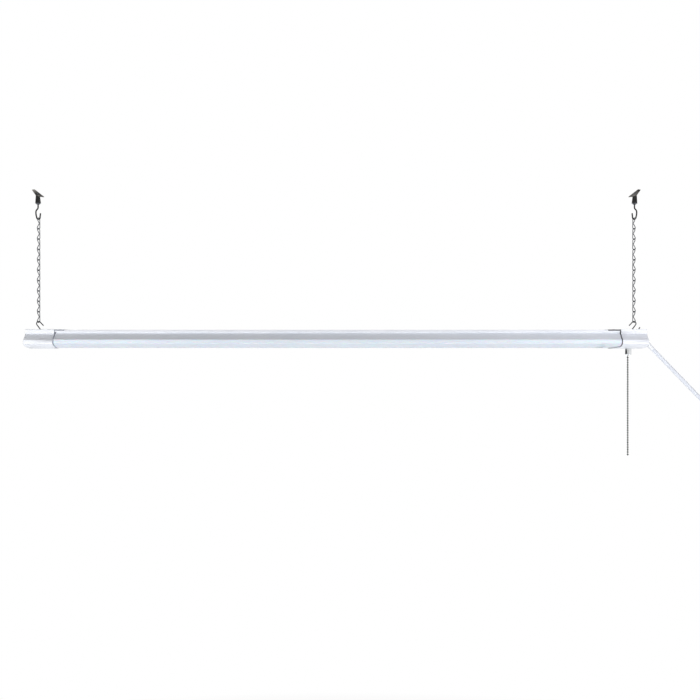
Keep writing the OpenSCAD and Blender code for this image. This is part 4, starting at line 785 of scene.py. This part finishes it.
def stageSheet(name, corners, finish):  # one flat sheet through four corners
    mesh = bpy.data.meshes.new(name)
    mesh.from_pydata(corners, [], [(0, 1, 2, 3)])
    mesh.materials.append(finish)
    obj = bpy.data.objects.new(name, mesh)
    bpy.context.scene.collection.objects.link(obj)
    return obj


def emptyTree(owner):  # node tree of a new material or world, with nothing in it
    owner.use_nodes = True
    owner.node_tree.nodes.clear()
    return owner.node_tree


def seenRays(tree):  # 1 for camera, mirror and see-through rays, 0 for the rays that carry light
    path = addNode(tree, "ShaderNodeLightPath").outputs
    seen = addNode(tree, "ShaderNodeMath", {0: path["Is Camera Ray"], 1: path["Is Glossy Ray"]},
                   operation="MAXIMUM").outputs[0]
    return addNode(tree, "ShaderNodeMath", {0: seen, 1: path["Is Transmission Ray"]},
                   operation="MAXIMUM").outputs[0]


def paleFloor(spec):
    # matt white sheet that keeps the shadow near the object and is plain white to the camera beyond
    mat = bpy.data.materials.new("paleFloorSheet")
    tree = emptyTree(mat)
    place = addNode(tree, "ShaderNodeTexCoord").outputs["Object"]
    far = addNode(tree, "ShaderNodeVectorMath", {0: place}, operation="LENGTH").outputs["Value"]
    far = addNode(tree, "ShaderNodeMapRange",
                  {0: far, 1: spec["near"], 2: spec["far"], 3: spec["nearShare"], 4: 1.0}).outputs[0]
    share = addNode(tree, "ShaderNodeMath", {0: seenRays(tree), 1: far}, operation="MULTIPLY").outputs[0]
    sheet = addNode(tree, "ShaderNodeBsdfDiffuse", {"Color": toLinear("#f2f2f2")}).outputs[0]
    glow = addNode(tree, "ShaderNodeEmission", {"Color": (1, 1, 1, 1), "Strength": 1.0}).outputs[0]
    both = addNode(tree, "ShaderNodeMixShader", {0: share, 1: sheet, 2: glow}).outputs[0]
    addNode(tree, "ShaderNodeOutputMaterial", {0: both})
    return mat


def darkFlag(name, corners, tone):
    # a matt sheet that only mirror reflections see: it draws the dark stripes on bright metal
    mat = bpy.data.materials.new(name)
    tree = emptyTree(mat)
    glow = addNode(tree, "ShaderNodeEmission", {"Color": toLinear(tone), "Strength": 1.0}).outputs[0]
    addNode(tree, "ShaderNodeOutputMaterial", {0: glow})
    flag = stageSheet(name, corners, mat)
    for ray in ("camera", "diffuse", "transmission", "shadow", "volume_scatter"):
        setattr(flag, "visible_" + ray, False)


half = stageSpec["size"] / 2
floorZ = stageSpec["floor"]
stageSheet("floorSheet", [(x * half, y * half, floorZ) for x, y in ((-1, -1), (1, -1), (1, 1), (-1, 1))],
           paleFloor(stageSpec))

# one flag stands to the left of the ferrule and reaches over leftY, one before it over frontX
flagSpec = dict(low=-0.31, high=-0.2845, left=0.05, leftY=(-0.058, 0.094), front=0.1,
                frontX=(-0.002, 0.016))


def flagCorners(span):  # (along, height) corners between two values and the flags' two heights
    low, high = flagSpec["low"], flagSpec["high"]
    return [(span[0], low), (span[1], low), (span[1], high), (span[0], high)]


ferruleX = switchSpec["x"] * mm
darkFlag("sideFlag", [(ferruleX - flagSpec["left"], y, z) for y, z in flagCorners(flagSpec["leftY"])],
         "#5a5a5a")
darkFlag("frontFlag", [(ferruleX + x, -flagSpec["front"], z) for x, z in flagCorners(flagSpec["frontX"])],
         "#3a3a3a")

world = bpy.data.worlds.new("studioAir")
bpy.context.scene.world = world
air = emptyTree(world)
dim = addNode(air, "ShaderNodeBackground",
              {"Color": toLinear(stageSpec["fillTint"]), "Strength": stageSpec["fill"]}).outputs[0]
plain = addNode(air, "ShaderNodeBackground", {"Color": (1, 1, 1, 1), "Strength": 1.0}).outputs[0]
both = addNode(air, "ShaderNodeMixShader", {0: seenRays(air), 1: dim, 2: plain}).outputs[0]
addNode(air, "ShaderNodeOutputWorld", {0: both})


def softLight(name, size, power, place, turn, tint="#ffffff", mirrored=True):
    # a rectangle of light that the camera never sees, and bright metal only where it is mirrored
    lamp = bpy.data.lights.new(name, "AREA")
    lamp.shape, lamp.size, lamp.size_y, lamp.energy = "RECTANGLE", size[0], size[1], power
    lamp.color = toLinear(tint)[:3]
    obj = bpy.data.objects.new(name, lamp)
    obj.location, obj.rotation_euler = place, [math.radians(a) for a in turn]
    obj.visible_camera, obj.visible_glossy = False, mirrored
    bpy.context.scene.collection.objects.link(obj)


# two boxes in front light both ends, so the middle of the body is a little darker than its ends
softLight("frontLeftBox", (0.8, 0.8), 11.0, (-0.82, -1.12, -0.35), (90, 0, 0), mirrored=False)
softLight("frontRightBox", (0.8, 0.8), 11.4, (0.86, -1.12, -0.33), (90, 0, 0), mirrored=False)
softLight("topRightBox", (0.7, 0.7), 3.1, (0.7, -0.25, 0.75), (0, 0, 0), "#f1f3ff")
softLight("rimRightBox", (0.8, 0.8), 3.5, (1.45, 1.4, 0.35), (-68, 0, -28))
softLight("underGlow", (3.2, 2.0), 14.9, (0.0, -0.2, floorZ + 0.03), (180, 0, 0), "#eff4fd")

cameraSpec = dict(lens=89.74, film=36.0, clipEnd=60, place=(0.0267, -3.4, -0.2864), turn=(90, 0, 0))
lens = bpy.data.cameras.new("photoLens")
lens.lens, lens.sensor_width, lens.clip_end = cameraSpec["lens"], cameraSpec["film"], cameraSpec["clipEnd"]
camera = bpy.data.objects.new("photoCamera", lens)
camera.location = cameraSpec["place"]
camera.rotation_euler = [math.radians(a) for a in cameraSpec["turn"]]
bpy.context.scene.collection.objects.link(camera)
bpy.context.scene.camera = camera
bpy.context.scene.view_settings.view_transform = "Standard"
print("stage and camera set")
